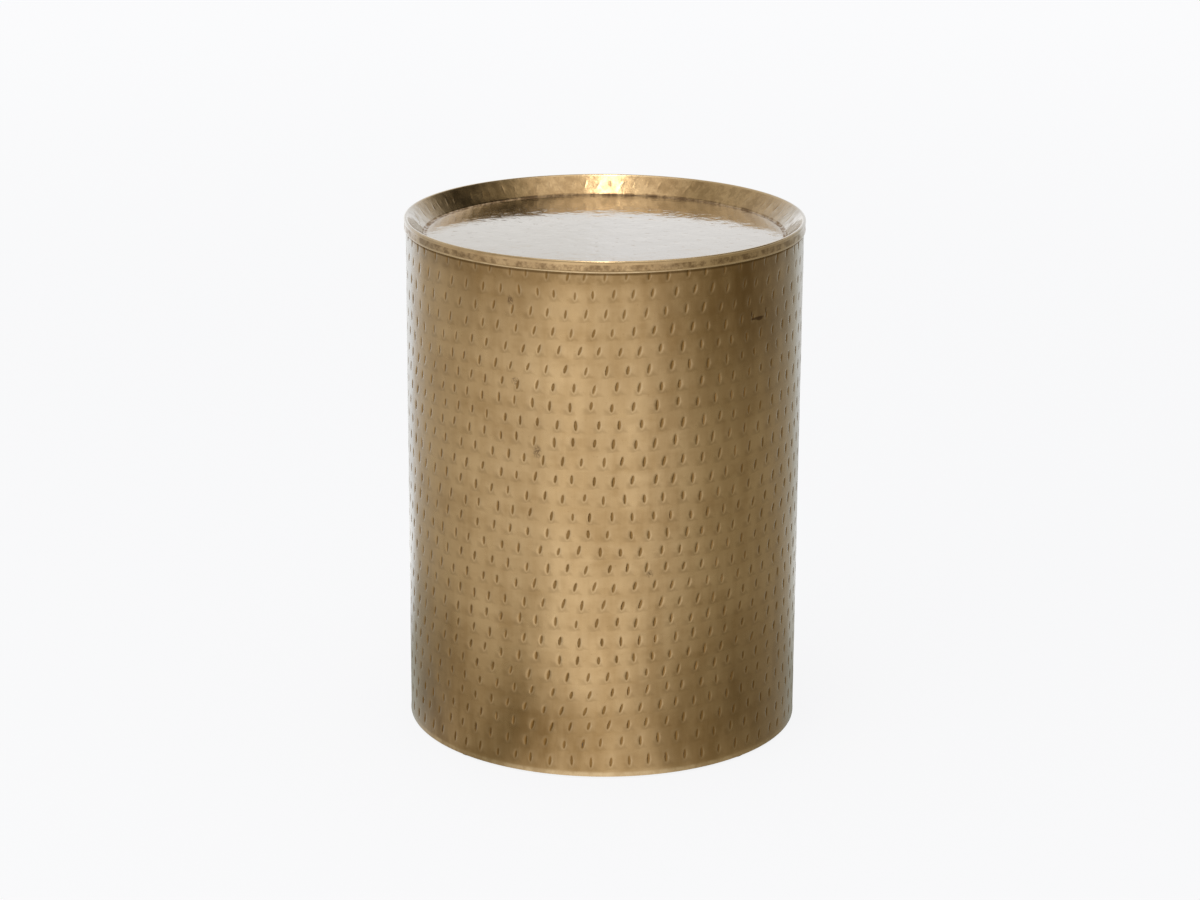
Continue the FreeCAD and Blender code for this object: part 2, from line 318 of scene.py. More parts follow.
@dataclass(frozen=True)
class HammerMark:
    """One tile of sheet, X by Y about the origin, with a cross-peen mark struck down into it."""

    width: float
    height: float
    mark_width: float = 3.6 * MM
    mark_length: float = 10.0 * MM
    depth: float = 0.95 * MM
    halo: float = 0.10 * MM  # how far the sheet around the mark is drawn down
    lip: float = 0.10 * MM  # how far the right side is thrown up
    drawn_share: float = 0.3  # share of a mark on the ring that is drawn down
    rim_share: float = 0.5  # and on its rim

    def make(self, name: str) -> Workpiece:
        """Model the tile with all the rings of a mark.

        Args:
            name: Name of the object.

        Returns:
            The tile, its lowest corner at the origin.
        """
        wide, long = self.mark_width, self.mark_length
        rings = [
            Ring(self.drawn_share, 2.1 * wide, 1.4 * long, self.halo),
            Ring(self.rim_share, wide, long, 1.5 * self.halo),
            Ring(0.85, 0.45 * wide, 0.74 * long, 0.72 * self.depth, -0.08 * wide),
            Ring(1.0, 0.0, 0.5 * long, self.depth, -0.12 * wide),
        ]
        tile = self._blank(name, rings)
        tile.weld(0.1 * WELD)
        self._store_shares(tile, rings)
        self._throw_lip(tile)
        tile.shift((self.width / 2, self.height / 2, 0))
        return tile

    def make_back(self, name: str, offset: float) -> Workpiece:
        """Model the plainer tile of the sheet's far face, raised where the mark is.

        Args:
            name: Name of the object.
            offset: Height of the far face.

        Returns:
            The tile, facing down, its lowest corner at the origin.
        """
        bump = Ring(1.0, 1.9 * self.mark_width, 1.1 * self.mark_length, 0.5 * self.depth)
        tile = self._blank(name, [bump])
        with tile.editing():
            bpy.ops.mesh.select_all(action="SELECT")
            bpy.ops.mesh.flip_normals()
        self._store_shares(tile, [bump])
        tile.shift((self.width / 2, self.height / 2, offset))
        return tile

    def _blank(self, name: str, rings: Sequence[Ring]) -> Workpiece:
        """Model the bare tile from a circle, and sink its rings.

        Args:
            name: Name of the object.
            rings: The rings, from the outer one inwards.

        Returns:
            The tile, its middle at the origin.
        """
        bpy.ops.object.select_all(action="DESELECT")
        bpy.ops.mesh.primitive_circle_add(vertices=8, radius=0.5, fill_type="NGON")
        tile = Workpiece(bpy.context.object)
        tile.item.name = name
        with tile.editing():
            tile.select(lambda place: abs(abs(place.x) - abs(place.y)) < BESIDE)
            tile.resize(math.sqrt(2), math.sqrt(2))
            bpy.ops.mesh.select_all(action="SELECT")
            tile.resize(self.width, self.height)
            outer = Ring(0.0, self.width, self.height, 0.0)
            for ring in rings:
                self._sink(tile, outer, ring)
                if ring is rings[0]:
                    self._round_off(tile, ring)
                outer = ring
        return tile

    def _sink(self, tile: Workpiece, outer: Ring, inner: Ring) -> None:
        """Inset the middle face once, down and in.

        Args:
            tile: The tile, in edit mode.
            outer: The face as it is.
            inner: The face as it gets.
        """
        bpy.ops.mesh.select_all(action="DESELECT")
        mesh = bmesh.from_edit_mesh(tile.item.data)
        middle = max(mesh.faces, key=lambda face: len(face.verts))
        middle.select_set(True)
        bmesh.update_edit_mesh(tile.item.data)
        bpy.ops.mesh.inset(thickness=0.5 * WELD)
        bpy.ops.transform.translate(value=(inner.aside - outer.aside, 0, outer.depth - inner.depth))
        tile.resize(inner.width / outer.width, inner.length / outer.length, (inner.aside, 0, 0))

    def _round_off(self, tile: Workpiece, ring: Ring) -> None:
        """Pull the corners of a square ring in to an oval.

        Args:
            tile: The tile, in edit mode.
            ring: The ring.
        """
        wide, long = 0.1 * ring.width, 0.1 * ring.length
        tile.select(
            lambda place: abs(place.x) > wide and abs(place.y) > long and abs(place.z + ring.depth) < WELD
        )
        tile.resize(math.sqrt(0.5), math.sqrt(0.5))

    def _store_shares(self, tile: Workpiece, rings: Sequence[Ring]) -> None:
        """Store on each vertex how far into the mark it lies.

        Args:
            tile: The tile.
            rings: Its rings.
        """
        for name in (DENT, LIT_LIP, SHADE_BELOW):
            tile.item.data.attributes.new(name, "FLOAT", "POINT")
        depths = -tile.places()[:, 2]
        values = np.zeros(len(depths))
        for ring in rings:
            values[np.abs(depths - ring.depth) < 0.1 * WELD] = ring.share
        tile.set_dents(values)

    def _throw_lip(self, tile: Workpiece) -> None:
        """Raise the right side of the mark's rim, and store where its lip gets a painted highlight and the
        sheet below it painted shade.

        Args:
            tile: The tile, its shares stored.
        """
        places, dents = tile.places(), tile.dents()
        rim = np.abs(dents - self.rim_share) < SAME
        lip = np.where(rim, np.clip(2 * places[:, 0] / self.mark_width, 0, 1), 0.0)
        below = (np.abs(dents - self.drawn_share) < SAME) & (places[:, 1] < -0.1 * self.mark_length)
        places[:, 2] += self.lip * lip
        tile.set_places(places)
        tile.item.data.attributes[LIT_LIP].data.foreach_set("value", lip)
        tile.item.data.attributes[SHADE_BELOW].data.foreach_set("value", below.astype(float))


@dataclass(frozen=True)
class Unevenness:
    """Smooth seeded relief, the sum of many shallow waves."""

    seed: int
    shortest: float
    longest: float
    waves: int

    def __call__(self, x: np.ndarray, y: np.ndarray) -> np.ndarray:
        """Height of the relief at each place.

        Args:
            x: Places across.
            y: Places up.

        Returns:
            Heights that stay within about -1 to 1.
        """
        dice = np.random.RandomState(self.seed)
        lengths = math.log(self.shortest), math.log(self.longest)
        total = np.zeros_like(x)
        for _ in range(self.waves):
            length = math.exp(dice.uniform(*lengths))
            turn = dice.uniform(0, math.tau)
            phase = dice.uniform(0, math.tau)
            total += np.sin(math.tau * (x * math.cos(turn) + y * math.sin(turn)) / length + phase)
        return total / (1.6 * math.sqrt(self.waves))

    def dips(self, x: np.ndarray, y: np.ndarray) -> np.ndarray:
        """Depth of the relief's hollows at each place.

        Args:
            x: Places across.
            y: Places up.

        Returns:
            Depths from 0 to 1.
        """
        return np.clip(0.5 - 0.5 * self(x, y), 0, 1)


@dataclass(frozen=True)
class HandOfTheSmith:
    """How much one hammer mark differs from the next."""

    seed: int
    drift: Pair = (1.9 * MM, 1.3 * MM)
    lean: float = 8.0  # degrees, tops of the marks to the right
    lean_spread: float = 6.0
    size_spread: float = 0.14
    faint: float = 0.66  # depth of the weakest marks, as a share
    rarity: float = 1.6  # the higher, the fewer weak marks
    row_drift: float = 0.0  # how far whole rows are set off
    easing: Pair = (1.0, 2.0)  # heights between which the blows grow lighter; these are above any sheet
    lightest: float = 0.62  # depth of the marks above them, as a share
    width_spread: float = 0.10
    firmness: float = 4.5  # how much of the sheet round a mark moves with it
    toning: float = 0.35  # how much a mark's tone goes with its depth
    luck: tuple[int, int] = (64, 128)  # rows and columns after which the differences repeat

    def strike(
        self,
        places: np.ndarray,
        dents: np.ndarray,
        tile: Pair,
        stagger: bool = False,
        surface: float = 0.0,
        still: Optional[np.ndarray] = None,
    ) -> tuple[np.ndarray, np.ndarray]:
        """Shift, lean and resize each mark within its tile.

        Args:
            places: Vertices of the flat sheet.
            dents: Their shares of a mark.
            tile: Width and height of one tile.
            stagger: Every second row is set back by half a tile.
            surface: Height of the sheet's open face.
            still: Vertices that keep their place.

        Returns:
            The new places and the new shares.
        """
        width, height = tile
        inside = dents > SAME
        if still is not None:
            inside &= ~still
        row = np.floor(places[:, 1] / height).astype(int)
        back = np.where((row % 2 == 1) & stagger, width / 2, 0.0)
        column = np.floor((places[:, 0] + back) / width).astype(int)
        middle_x = (column + 0.5) * width - back
        middle_y = (row + 0.5) * height
        rows, columns = self.luck
        luck = np.random.RandomState(self.seed).uniform(-1, 1, (rows, columns, 6))
        turned, longer, lighter, beside, above, wider = luck[row % rows, column % columns].T
        rows_aside = np.random.RandomState(self.seed + 1).uniform(-1, 1, rows)
        part = 1 - (1 - np.clip(dents, 0, 1)) ** self.firmness
        angle = -np.radians(self.lean + self.lean_spread * turned) * part
        strength = 1 - (1 - self.faint) * (0.5 - 0.5 * lighter) ** self.rarity
        strength *= np.interp(middle_y, self.easing, (1.0, self.lightest))
        x = (places[:, 0] - middle_x) * (1 + part * (self.width_spread * wider))
        y = (places[:, 1] - middle_y) * (1 + part * (self.size_spread * longer))
        aside = (self.drift[0] * beside + self.row_drift * rows_aside[row % rows]) * part
        aloft = self.drift[1] * above * part
        moved = np.column_stack(
            (
                middle_x + x * np.cos(angle) - y * np.sin(angle) + aside,
                middle_y + x * np.sin(angle) + y * np.cos(angle) + aloft,
                surface + (places[:, 2] - surface) * strength,
            )
        )
        moved = np.where(inside[:, None], moved, places)
        return moved, np.where(inside, dents * strength**self.toning, dents)


# ---------------------------------------------------------------- finishes


class NodeBench:
    """Places and links the nodes of one material or world.

    Its spot is the shaded point's place in the part's frame, or the direction in a world.
    """

    def __init__(self, owner: Union[bpy.types.Material, bpy.types.World]) -> None:
        """Start with nothing but the spot.

        Args:
            owner: Material or world that gets the nodes.
        """
        owner.use_nodes = True
        self.tree = owner.node_tree
        self.tree.nodes.clear()
        kind = "Object" if isinstance(owner, bpy.types.Material) else "Generated"
        self.spot = self.add("TexCoord").outputs[kind]

    def add(
        self, kind: str, inputs: Optional[dict[Union[str, int], Input]] = None, **settings: object
    ) -> bpy.types.Node:
        """Add a node, set it up and link its inputs.

        Args:
            kind: Node type without its ShaderNode prefix.
            inputs: Value or source of each input, by name or number.
            **settings: Properties of the node.

        Returns:
            The node.
        """
        node = self.tree.nodes.new("ShaderNode" + kind)
        for name, value in settings.items():
            setattr(node, name, value)
        for key, value in (inputs or {}).items():
            self._feed(node.inputs[key], value)
        return node

    def _feed(self, socket: Socket, value: Input) -> None:
        """Link a socket to a source, or set its value.

        Args:
            socket: The input.
            value: Source, number, vector or colour.
        """
        if isinstance(value, Socket):
            self.tree.links.new(value, socket)
        elif isinstance(value, (int, float)) or len(value) == len(socket.default_value):
            socket.default_value = value
        else:
            socket.default_value = (*value, 1.0)

    def stretch(self, scale: Point, turn: Point = (0, 0, 0)) -> Socket:
        """The spot scaled and turned, for a stretched pattern.

        Args:
            scale: Scale along each axis.
            turn: Turn about each axis, in radians.

        Returns:
            The new place.
        """
        inputs = {"Vector": self.spot, "Scale": scale, "Rotation": turn}
        return self.add("Mapping", inputs).outputs["Vector"]

    def noise(
        self,
        scale: float,
        detail: float = 2,
        rough: float = 0.5,
        twist: float = 0,
        at: Optional[Socket] = None,
    ) -> Socket:
        """Noise from 0 to 1.

        Args:
            scale: Cells for each metre.
            detail: Number of finer layers.
            rough: Strength of the finer layers.
            twist: Distortion.
            at: Place that it is read at, if not the spot.

        Returns:
            The value.
        """
        inputs = {
            "Vector": self.spot if at is None else at,
            "Scale": scale,
            "Detail": detail,
            "Roughness": rough,
            "Distortion": twist,
        }
        return self.add("TexNoise", inputs).outputs["Fac"]

    def level(self, source: Input, low: float, high: float, to: Pair = (0, 1)) -> Socket:
        """Stretch a value from one range to another, with soft ends.

        Args:
            source: The value.
            low: Value that becomes the first end.
            high: Value that becomes the second end.
            to: The two ends.

        Returns:
            The new value.
        """
        inputs = {"Value": source, "From Min": low, "From Max": high, "To Min": to[0], "To Max": to[1]}
        return self.add("MapRange", inputs, interpolation_type="SMOOTHSTEP").outputs["Result"]

    def maths(self, kind: str, *values: Input) -> Socket:
        """Work through values from the first to the last.

        Args:
            kind: Operation of the Math nodes.
            *values: Two values or more.

        Returns:
            The result.
        """
        result = values[0]
        for value in values[1:]:
            result = self.add("Math", {0: result, 1: value}, operation=kind).outputs[0]
        return result

    def vector(self, kind: str, first: Input, second: Input = (0, 0, 0)) -> Socket:
        """One step of vector arithmetic.

        Args:
            kind: Operation of the VectorMath node.
            first: First vector.
            second: Second vector, where the operation takes one.

        Returns:
            The result: a length for LENGTH, DISTANCE and DOT_PRODUCT, else a vector.
        """
        node = self.add("VectorMath", {0: first, 1: second}, operation=kind)
        return node.outputs["Value" if kind in ("LENGTH", "DISTANCE", "DOT_PRODUCT") else "Vector"]

    def from_axis(self) -> Socket:
        """Distance of the spot from the table's axis."""
        return self.vector("LENGTH", self.stretch((1.0, 1.0, 0.0)))

    def blend(self, share: Input, first: Input, second: Input) -> Socket:
        """Mix two colours.

        Args:
            share: Share of the second colour.
            first: First colour.
            second: Second colour.

        Returns:
            The mixed colour.
        """
        return self.add("Mix", {0: share, 6: first, 7: second}, data_type="RGBA").outputs[2]

    def mix_shaders(self, share: Input, first: bpy.types.Node, second: bpy.types.Node) -> bpy.types.Node:
        """Mix two shaders.

        Args:
            share: Share of the second shader.
            first: Node of the first shader.
            second: Node of the second shader.

        Returns:
            The mixing node.
        """
        return self.add("MixShader", {0: share, 1: first.outputs[0], 2: second.outputs[0]})

    def ramp(self, source: Input, stops: Sequence[tuple[float, Colour]]) -> Socket:
        """Read a colour off a smooth ramp.

        Args:
            source: Place on the ramp, from 0 to 1.
            stops: Place and colour of each stop.

        Returns:
            The colour.
        """
        node = self.add("ValToRGB", {"Fac": source})
        band = node.color_ramp
        band.interpolation = "EASE"
        while len(band.elements) < len(stops):
            band.elements.new(0.5)
        for element, (at, colour) in zip(band.elements, stops):
            element.position = at
            element.color = (*colour, 1)
        return node.outputs["Color"]

    def relief(self, height: Input, depth: float, under: Optional[Socket] = None) -> Socket:
        """Normal of a surface with a shallow relief.

        Args:
            height: Height of the relief, from 0 to 1.
            depth: Distance that 1 stands for, in metres.
            under: Normal of the relief that it lies on.

        Returns:
            The normal.
        """
        inputs = {"Height": height, "Distance": depth, "Strength": 1.0}
        if under is not None:
            inputs["Normal"] = under
        return self.add("Bump", inputs).outputs["Normal"]

    def mirrored(self) -> Socket:
        """1 for what is seen in a reflection or through glass, else 0."""
        path = self.add("LightPath")
        return self.maths("MAXIMUM", path.outputs["Is Glossy Ray"], path.outputs["Is Transmission Ray"])

    def seen(self) -> Socket:
        """1 for what the camera sees straight, else 0."""
        return self.add("LightPath").outputs["Is Camera Ray"]

    def show(self, shader: bpy.types.Node, kind: str = "OutputMaterial") -> None:
        """Link a shader to the output.

        Args:
            shader: Node of what the surface shows.
            kind: Output node type.
        """
        self.add(kind, {"Surface": shader.outputs[0]})


@dataclass(frozen=True)
class Pattern:
    """Noise whose values between two limits are spread over a range, with soft ends."""

    scale: float  # cells for each metre
    low: float
    high: float
    to: Pair = (0, 1)
    detail: float = 4  # number of finer layers
    rough: float = 0.6  # their strength
    twist: float = 0.0
    squeeze: Point = (1.0, 1.0, 1.0)  # below 1 it is drawn out along that axis

    def read(self, bench: NodeBench) -> Socket:
        """Value of the pattern at the spot.

        Args:
            bench: The material's nodes.

        Returns:
            The value.
        """
        at = bench.stretch(self.squeeze) if min(self.squeeze) < 1 else None
        noise = bench.noise(self.scale, self.detail, self.rough, self.twist, at)
        return bench.level(noise, self.low, self.high, self.to)


@dataclass(frozen=True)
class SheetRing:
    """A ring of the sheet, round the table's axis, in another tone than the rest: grime, a paler edge or
    painted shade.
    """

    tone: Colour
    share: float
    radius: Pair
    height: Pair
    fade: Pair = (0.5 * MM, 0.5 * MM)  # beyond the radius and beyond the height
    ragged: float = 0.5  # how much of it comes and goes round the table
    dulls: float = 0.0  # how far it hides the lacquer's shine

    def reach(self, bench: NodeBench) -> Socket:
        """Share of the ring's tone at the spot.

        Args:
            bench: The material's nodes.

        Returns:
            The share.
        """
        up = bench.add("SeparateXYZ", {"Vector": bench.spot}).outputs["Z"]
        near = self._within(bench, bench.from_axis(), self.radius, self.fade[0])
        level = self._within(bench, up, self.height, self.fade[1])
        patchy = Pattern(110, 0.40, 0.62, (1 - self.ragged, 1.0), rough=0.65).read(bench)
        return bench.maths("MULTIPLY", near, level, patchy, self.share)

    def _within(self, bench: NodeBench, value: Input, ends: Pair, fade: float) -> Socket:
        """1 between two ends, 0 beyond them.

        Args:
            bench: The material's nodes.
            value: The value.
            ends: The two ends.
            fade: Distance in which it fades out.

        Returns:
            The share.
        """
        rising = bench.level(value, ends[0] - fade, ends[0])
        falling = bench.level(value, ends[1] + fade, ends[1])
        return bench.maths("MULTIPLY", rising, falling)


@dataclass(frozen=True)
class StainAndShade:
    """A broad soft darker cloud on the sheet; some are stains, some are painted shade."""

    at: Point
    size: float
    share: float
    clouding: Pattern = Pattern(34, 0.30, 0.66, (0.5, 1.0), squeeze=(1.0, 1.0, 0.3))

    def reach(self, bench: NodeBench) -> Socket:
        """Share of the patina at the spot.

        Args:
            bench: The material's nodes.

        Returns:
            The share.
        """
        near = bench.level(bench.vector("DISTANCE", bench.spot, self.at), self.size, 0.0)
        return bench.maths("MULTIPLY", near, self.clouding.read(bench), self.share)


@dataclass(frozen=True)
class Scuff:
    """A small dark bruise in the sheet, ragged or scored."""

    at: Point
    size: float
    narrow: Point = (1.0, 1.0, 1.0)  # how many times narrower it is along each axis
    scored: bool = False  # solid to its edge
    raggedness: Pattern = Pattern(290, 0.42, 0.56, rough=0.7, twist=1.6)

    def reach(self, bench: NodeBench) -> Socket:
        """Share of the bruise at the spot.

        Args:
            bench: The material's nodes.

        Returns:
            The share.
        """
        middle = tuple(at * times for at, times in zip(self.at, self.narrow))
        gap = bench.vector("DISTANCE", bench.stretch(self.narrow), middle)
        if self.scored:
            return bench.level(gap, self.size, 0.5 * self.size, (0.0, 0.8))
        near = bench.level(gap, self.size, 0.2 * self.size, (0.0, 0.75))
        return bench.maths("MULTIPLY", near, self.raggedness.read(bench))


@dataclass(frozen=True)
class Finish:
    """What a piece is made of, to the eye."""

    name: str

    def make(self) -> bpy.types.Material:
        """Build the material.

        Returns:
            The material.
        """
        material = bpy.data.materials.new(self.name)
        bench = NodeBench(material)
        bench.show(self._shader(bench))
        return material

    def _shader(self, bench: NodeBench) -> bpy.types.Node:
        """Lay out the finish's own nodes.

        Args:
            bench: The material's nodes.

        Returns:
            Node of the shader.
        """
        raise NotImplementedError


@dataclass(frozen=True)
class AgedBrass(Finish):
    """Lacquered brass sheet that has aged unevenly and is darker in its hammer marks, with painted highlights
    and shade round the marks.
    """

    bright: Colour = (0.710, 0.490, 0.252)
    tarnish: Colour = (0.500, 0.318, 0.142)
    # tone of the stains and patina, and of the painted shade on the wall and below the marks
    patina_and_shade: Colour = (0.235, 0.130, 0.040)
    umber: Colour = (0.250, 0.128, 0.031)  # in the marks
    bruise: Colour = (0.105, 0.058, 0.030)
    # tone of the painted highlight on the marks' lips and round them
    highlight_tone: Colour = (0.900, 0.700, 0.450)
    grazing: Colour = (0.90, 0.74, 0.50)  # tint of the metal's own shine at a low angle
    lacquer: Colour = (0.95, 0.95, 0.945)
    roughness: Pair = (0.26, 0.38)
    lacquer_roughness: float = 0.26
    coat: float = 0.0  # clear coat that shines white at any angle
    coat_roughness: float = 0.12
    rim_strength: float = 4.13  # how far the lacquer shines white at a low angle
    rim_falloff: float = 4.31
    rim_lean: float = 0.42  # how much weaker it is from above and below than from the side
    rim_most: float = 0.96
    pooled: float = 0.82  # how far the marks are filled with umber
    lip_highlight: float = 0.28  # how bright the painted highlight is on the marks' thrown-up right lips, and fainter round the marks
    shade_under_marks: float = 0.30  # how dark the painted shade below the marks is
    grain: float = 0.010 * MM  # depth of the finest relief
    planishing: float = 0.16 * MM  # depth of the sheet's own small waves
    bow: float = 0.0  # how far a round floor stands up in its middle
    bow_radius: float = 1.0
    bow_fullness: float = 2.6  # 1 is a cone, more is a flatter middle
    clouds: Pattern = Pattern(15, 0.36, 0.68, (0.0, 0.33), twist=0.4)
    # upright streaks of tarnish, which also paint the upright streaks of reflection
    streaks: Pattern = Pattern(62, 0.35, 0.72, (0.0, 0.42), 3, 0.55, squeeze=(1.0, 1.0, 0.14))
    # painted shade in wide, flat bands along the rows of marks
    row_shade: Pattern = Pattern(55, 0.42, 0.70, (0.0, 0.33), 3, squeeze=(0.35, 0.35, 1.0))
    specks: Pattern = Pattern(420, 0.60, 0.80, (0.0, 0.3), 3, 0.7)
    stains_and_shade: tuple[StainAndShade, ...] = ()
    rings: tuple[SheetRing, ...] = ()
    scuffs: tuple[Scuff, ...] = ()

    def _shader(self, bench: NodeBench) -> bpy.types.Node:
        """Metal under a lacquer that shines more the lower the angle is.

        Args:
            bench: The material's nodes.

        Returns:
            Node of the shader.
        """
        colour, cover = self._colour(bench)
        surface = bench.relief(bench.noise(900, 3, 0.6), self.grain)
        surface = bench.relief(bench.noise(95, 3, 0.55), self.planishing, surface)
        if self.bow:
            surface = bench.relief(self._bowed(bench), self.bow, surface)
        metal = bench.add(
            "BsdfPrincipled",
            {
                "Base Color": colour,
                "Metallic": 1.0,
                "Roughness": Pattern(75, 0.3, 0.7, self.roughness, rough=0.65).read(bench),
                "Normal": surface,
                "Specular Tint": self.grazing,
                "Coat Weight": self.coat,
                "Coat Roughness": self.coat_roughness,
            },
        )
        shine = bench.add(
            "BsdfAnisotropic",
            {
                "Color": bench.blend(cover, self.lacquer, self.umber),
                "Roughness": self.lacquer_roughness,
                "Normal": surface,
            },
        )
        leans = [self._facing(bench, surface, (0, 0, lean)) for lean in (self.rim_lean, -self.rim_lean)]
        rim = bench.maths("POWER", bench.maths("MINIMUM", *leans), self.rim_falloff)
        share = bench.maths("MINIMUM", bench.maths("MULTIPLY", rim, self.rim_strength), self.rim_most)
        return bench.mix_shaders(share, metal, shine)

    def _facing(self, bench: NodeBench, normal: Input, lean: Point) -> Socket:
        """How far the surface turns away from the eye.

        Args:
            bench: The material's nodes.
            normal: The surface's normal.
            lean: What is added to the normal first.

        Returns:
            The share, from 0 to 1.
        """
        upright = bench.vector("NORMALIZE", bench.vector("ADD", normal, lean))
        return bench.add("LayerWeight", {"Blend": 0.5, "Normal": upright}).outputs["Facing"]

    def _bowed(self, bench: NodeBench) -> Socket:
        """Height of the bowed floor, 1 in its middle and 0 from its edge outwards.

        Args:
            bench: The material's nodes.

        Returns:
            The height.
        """
        away = bench.maths("DIVIDE", bench.from_axis(), self.bow_radius)
        share = bench.maths("MINIMUM", away, 1.0)
        return bench.maths("SUBTRACT", 1.0, bench.maths("POWER", share, self.bow_fullness))

    def _trace(self, bench: NodeBench, name: str, low: float, high: float, most: float) -> Socket:
        """Share of what the hammer has left at the spot.

        Args:
            bench: The material's nodes.
            name: Mesh attribute that tells where it is.
            low: Value of the attribute that gives 0.
            high: Value of the attribute that gives the most.
            most: The largest share.

        Returns:
            The share.
        """
        value = bench.add("Attribute", attribute_name=name).outputs["Fac"]
        return bench.level(value, low, high, (0.0, most))

    def _colour(self, bench: NodeBench) -> tuple[Socket, Socket]:
        """Colour of the sheet: its tarnish, stains and grime, with painted highlights and shade.

        Args:
            bench: The material's nodes.

        Returns:
            The colour, and how far grime and painted shade cover the lacquer.
        """
        darker_patterns = [pattern.read(bench) for pattern in (self.clouds, self.streaks, self.row_shade)]
        age = bench.maths("MINIMUM", bench.maths("ADD", *darker_patterns), 1.0)
        colour = bench.blend(age, self.bright, self.tarnish)
        # stains, and painted shade towards the right and near the foot
        for stain in self.stains_and_shade:
            colour = bench.blend(stain.reach(bench), colour, self.patina_and_shade)
        filled = self._trace(bench, DENT, 0.36, 0.80, self.pooled)
        specks = self.specks.read(bench)
        layers = [
            # painted shade below each mark
            (self._trace(bench, SHADE_BELOW, 0.15, 1.0, self.shade_under_marks), self.patina_and_shade),
            # painted highlight on each mark's right lip, and fainter on the ring round it
            (self._trace(bench, LIT_LIP, 0.35, 0.95, self.lip_highlight), self.highlight_tone),
            (self._trace(bench, DENT, 0.10, 0.36, 0.22 * self.lip_highlight), self.highlight_tone),
            (filled, self.umber),
            (specks, self.umber),
        ]
        for share, tone in layers:
            colour = bench.blend(share, colour, tone)
        cover = bench.maths("MAXIMUM", bench.maths("MULTIPLY", filled, 0.5), specks)
        for ring in self.rings:
            share = ring.reach(bench)
            colour = bench.blend(share, colour, ring.tone)
            cover = bench.maths("MAXIMUM", cover, bench.maths("MULTIPLY", share, ring.dulls))
        for scuff in self.scuffs:
            share = scuff.reach(bench)
            colour = bench.blend(share, colour, self.bruise)
            cover = bench.maths("MAXIMUM", cover, share)
        return colour, cover


@dataclass(frozen=True)
class PaintedSteel(Finish):
    """Black paint over rolled bar, with a faint orange peel and dull patches."""

    name: str = "painted_steel"
    paint: Colour = (0.020, 0.019, 0.018)
    dull: Colour = (0.045, 0.042, 0.038)

    def _shader(self, bench: NodeBench) -> bpy.types.Node:
        """Paint with dust lying in patches.

        Args:
            bench: The material's nodes.

        Returns:
            Node of the shader.
        """
        dust = Pattern(55, 0.45, 0.75).read(bench)
        inputs = {
            "Base Color": bench.blend(dust, self.paint, self.dull),
            "Roughness": Pattern(120, 0.3, 0.7, (0.36, 0.55), 3, 0.5).read(bench),
            "Normal": bench.relief(bench.noise(700), 0.05 * MM),
            "Coat Weight": 0.15,
        }
        return bench.add("BsdfPrincipled", inputs)


@dataclass(frozen=True)
class StainedBoard(Finish):
    """Fibreboard stained near black, with fine fibres lying one way."""

    name: str = "stained_board"
    stain: Colour = (0.030, 0.024, 0.019)
    fibre: Colour = (0.078, 0.060, 0.044)

    def _shader(self, bench: NodeBench) -> bpy.types.Node:
        """Fibres, paler and rougher than the board between them.

        Args:
            bench: The material's nodes.

        Returns:
            Node of the shader.
        """
        fibres = bench.noise(900, 4, 0.65, at=bench.stretch((1.0, 0.08, 1.0)))
        mottle = Pattern(24, 0.25, 0.75, (0.35, 1.0), 3, 0.5).read(bench)
        share = bench.maths("MULTIPLY", bench.level(fibres, 0.42, 0.72), mottle)
        inputs = {
            "Base Color": bench.blend(share, self.stain, self.fibre),
            "Roughness": bench.level(fibres, 0.3, 0.7, (0.52, 0.74)),
            "Normal": bench.relief(fibres, 0.06 * MM),
        }
        return bench.add("BsdfPrincipled", inputs)


@dataclass(frozen=True)
class ZincPlate(Finish):
    """Bright zinc on small screws, clouded and finely scratched."""

    name: str = "zinc_plate"
    zinc: Colour = (0.56, 0.57, 0.57)
    cloud: Colour = (0.36, 0.36, 0.34)

    def _shader(self, bench: NodeBench) -> bpy.types.Node:
        """Zinc, rougher where it is clouded.

        Args:
            bench: The material's nodes.

        Returns:
            Node of the shader.
        """
        clouds = Pattern(260, 0.35, 0.7).read(bench)
        scratch = bench.noise(2600, at=bench.stretch((1.0, 0.1, 1.0), (0, 0, 0.7)))
        inputs = {
            "Base Color": bench.blend(clouds, self.zinc, self.cloud),
            "Metallic": 1.0,
            "Roughness": bench.level(clouds, 0, 1, (0.26, 0.46)),
            "Normal": bench.relief(scratch, 0.01 * MM),
        }
        return bench.add("BsdfPrincipled", inputs)


@dataclass(frozen=True)
class MouldedPlastic(Finish):
    """Satin black plastic with the fine spark texture of its mould."""

    name: str = "moulded_plastic"
    plastic: Colour = (0.024, 0.024, 0.025)
    worn: Colour = (0.070, 0.068, 0.066)

    def _shader(self, bench: NodeBench) -> bpy.types.Node:
        """Plastic, scuffed in places.

        Args:
            bench: The material's nodes.

        Returns:
            Node of the shader.
        """
        spark = bench.noise(2200, 2, 0.6)
        scuffed = Pattern(300, 0.52, 0.8, rough=0.7).read(bench)
        inputs = {
            "Base Color": bench.blend(scuffed, self.plastic, self.worn),
            "Roughness": bench.level(spark, 0.3, 0.7, (0.42, 0.58)),
            "Normal": bench.relief(spark, 0.03 * MM),
        }
        return bench.add("BsdfPrincipled", inputs)


# ---------------------------------------------------------------- drum wall


def rise(distance: np.ndarray, length: float) -> np.ndarray:
    """0 up to distance 0, 1 from a length on, and straight between them."""
    return np.clip(distance / length, 0, 1)


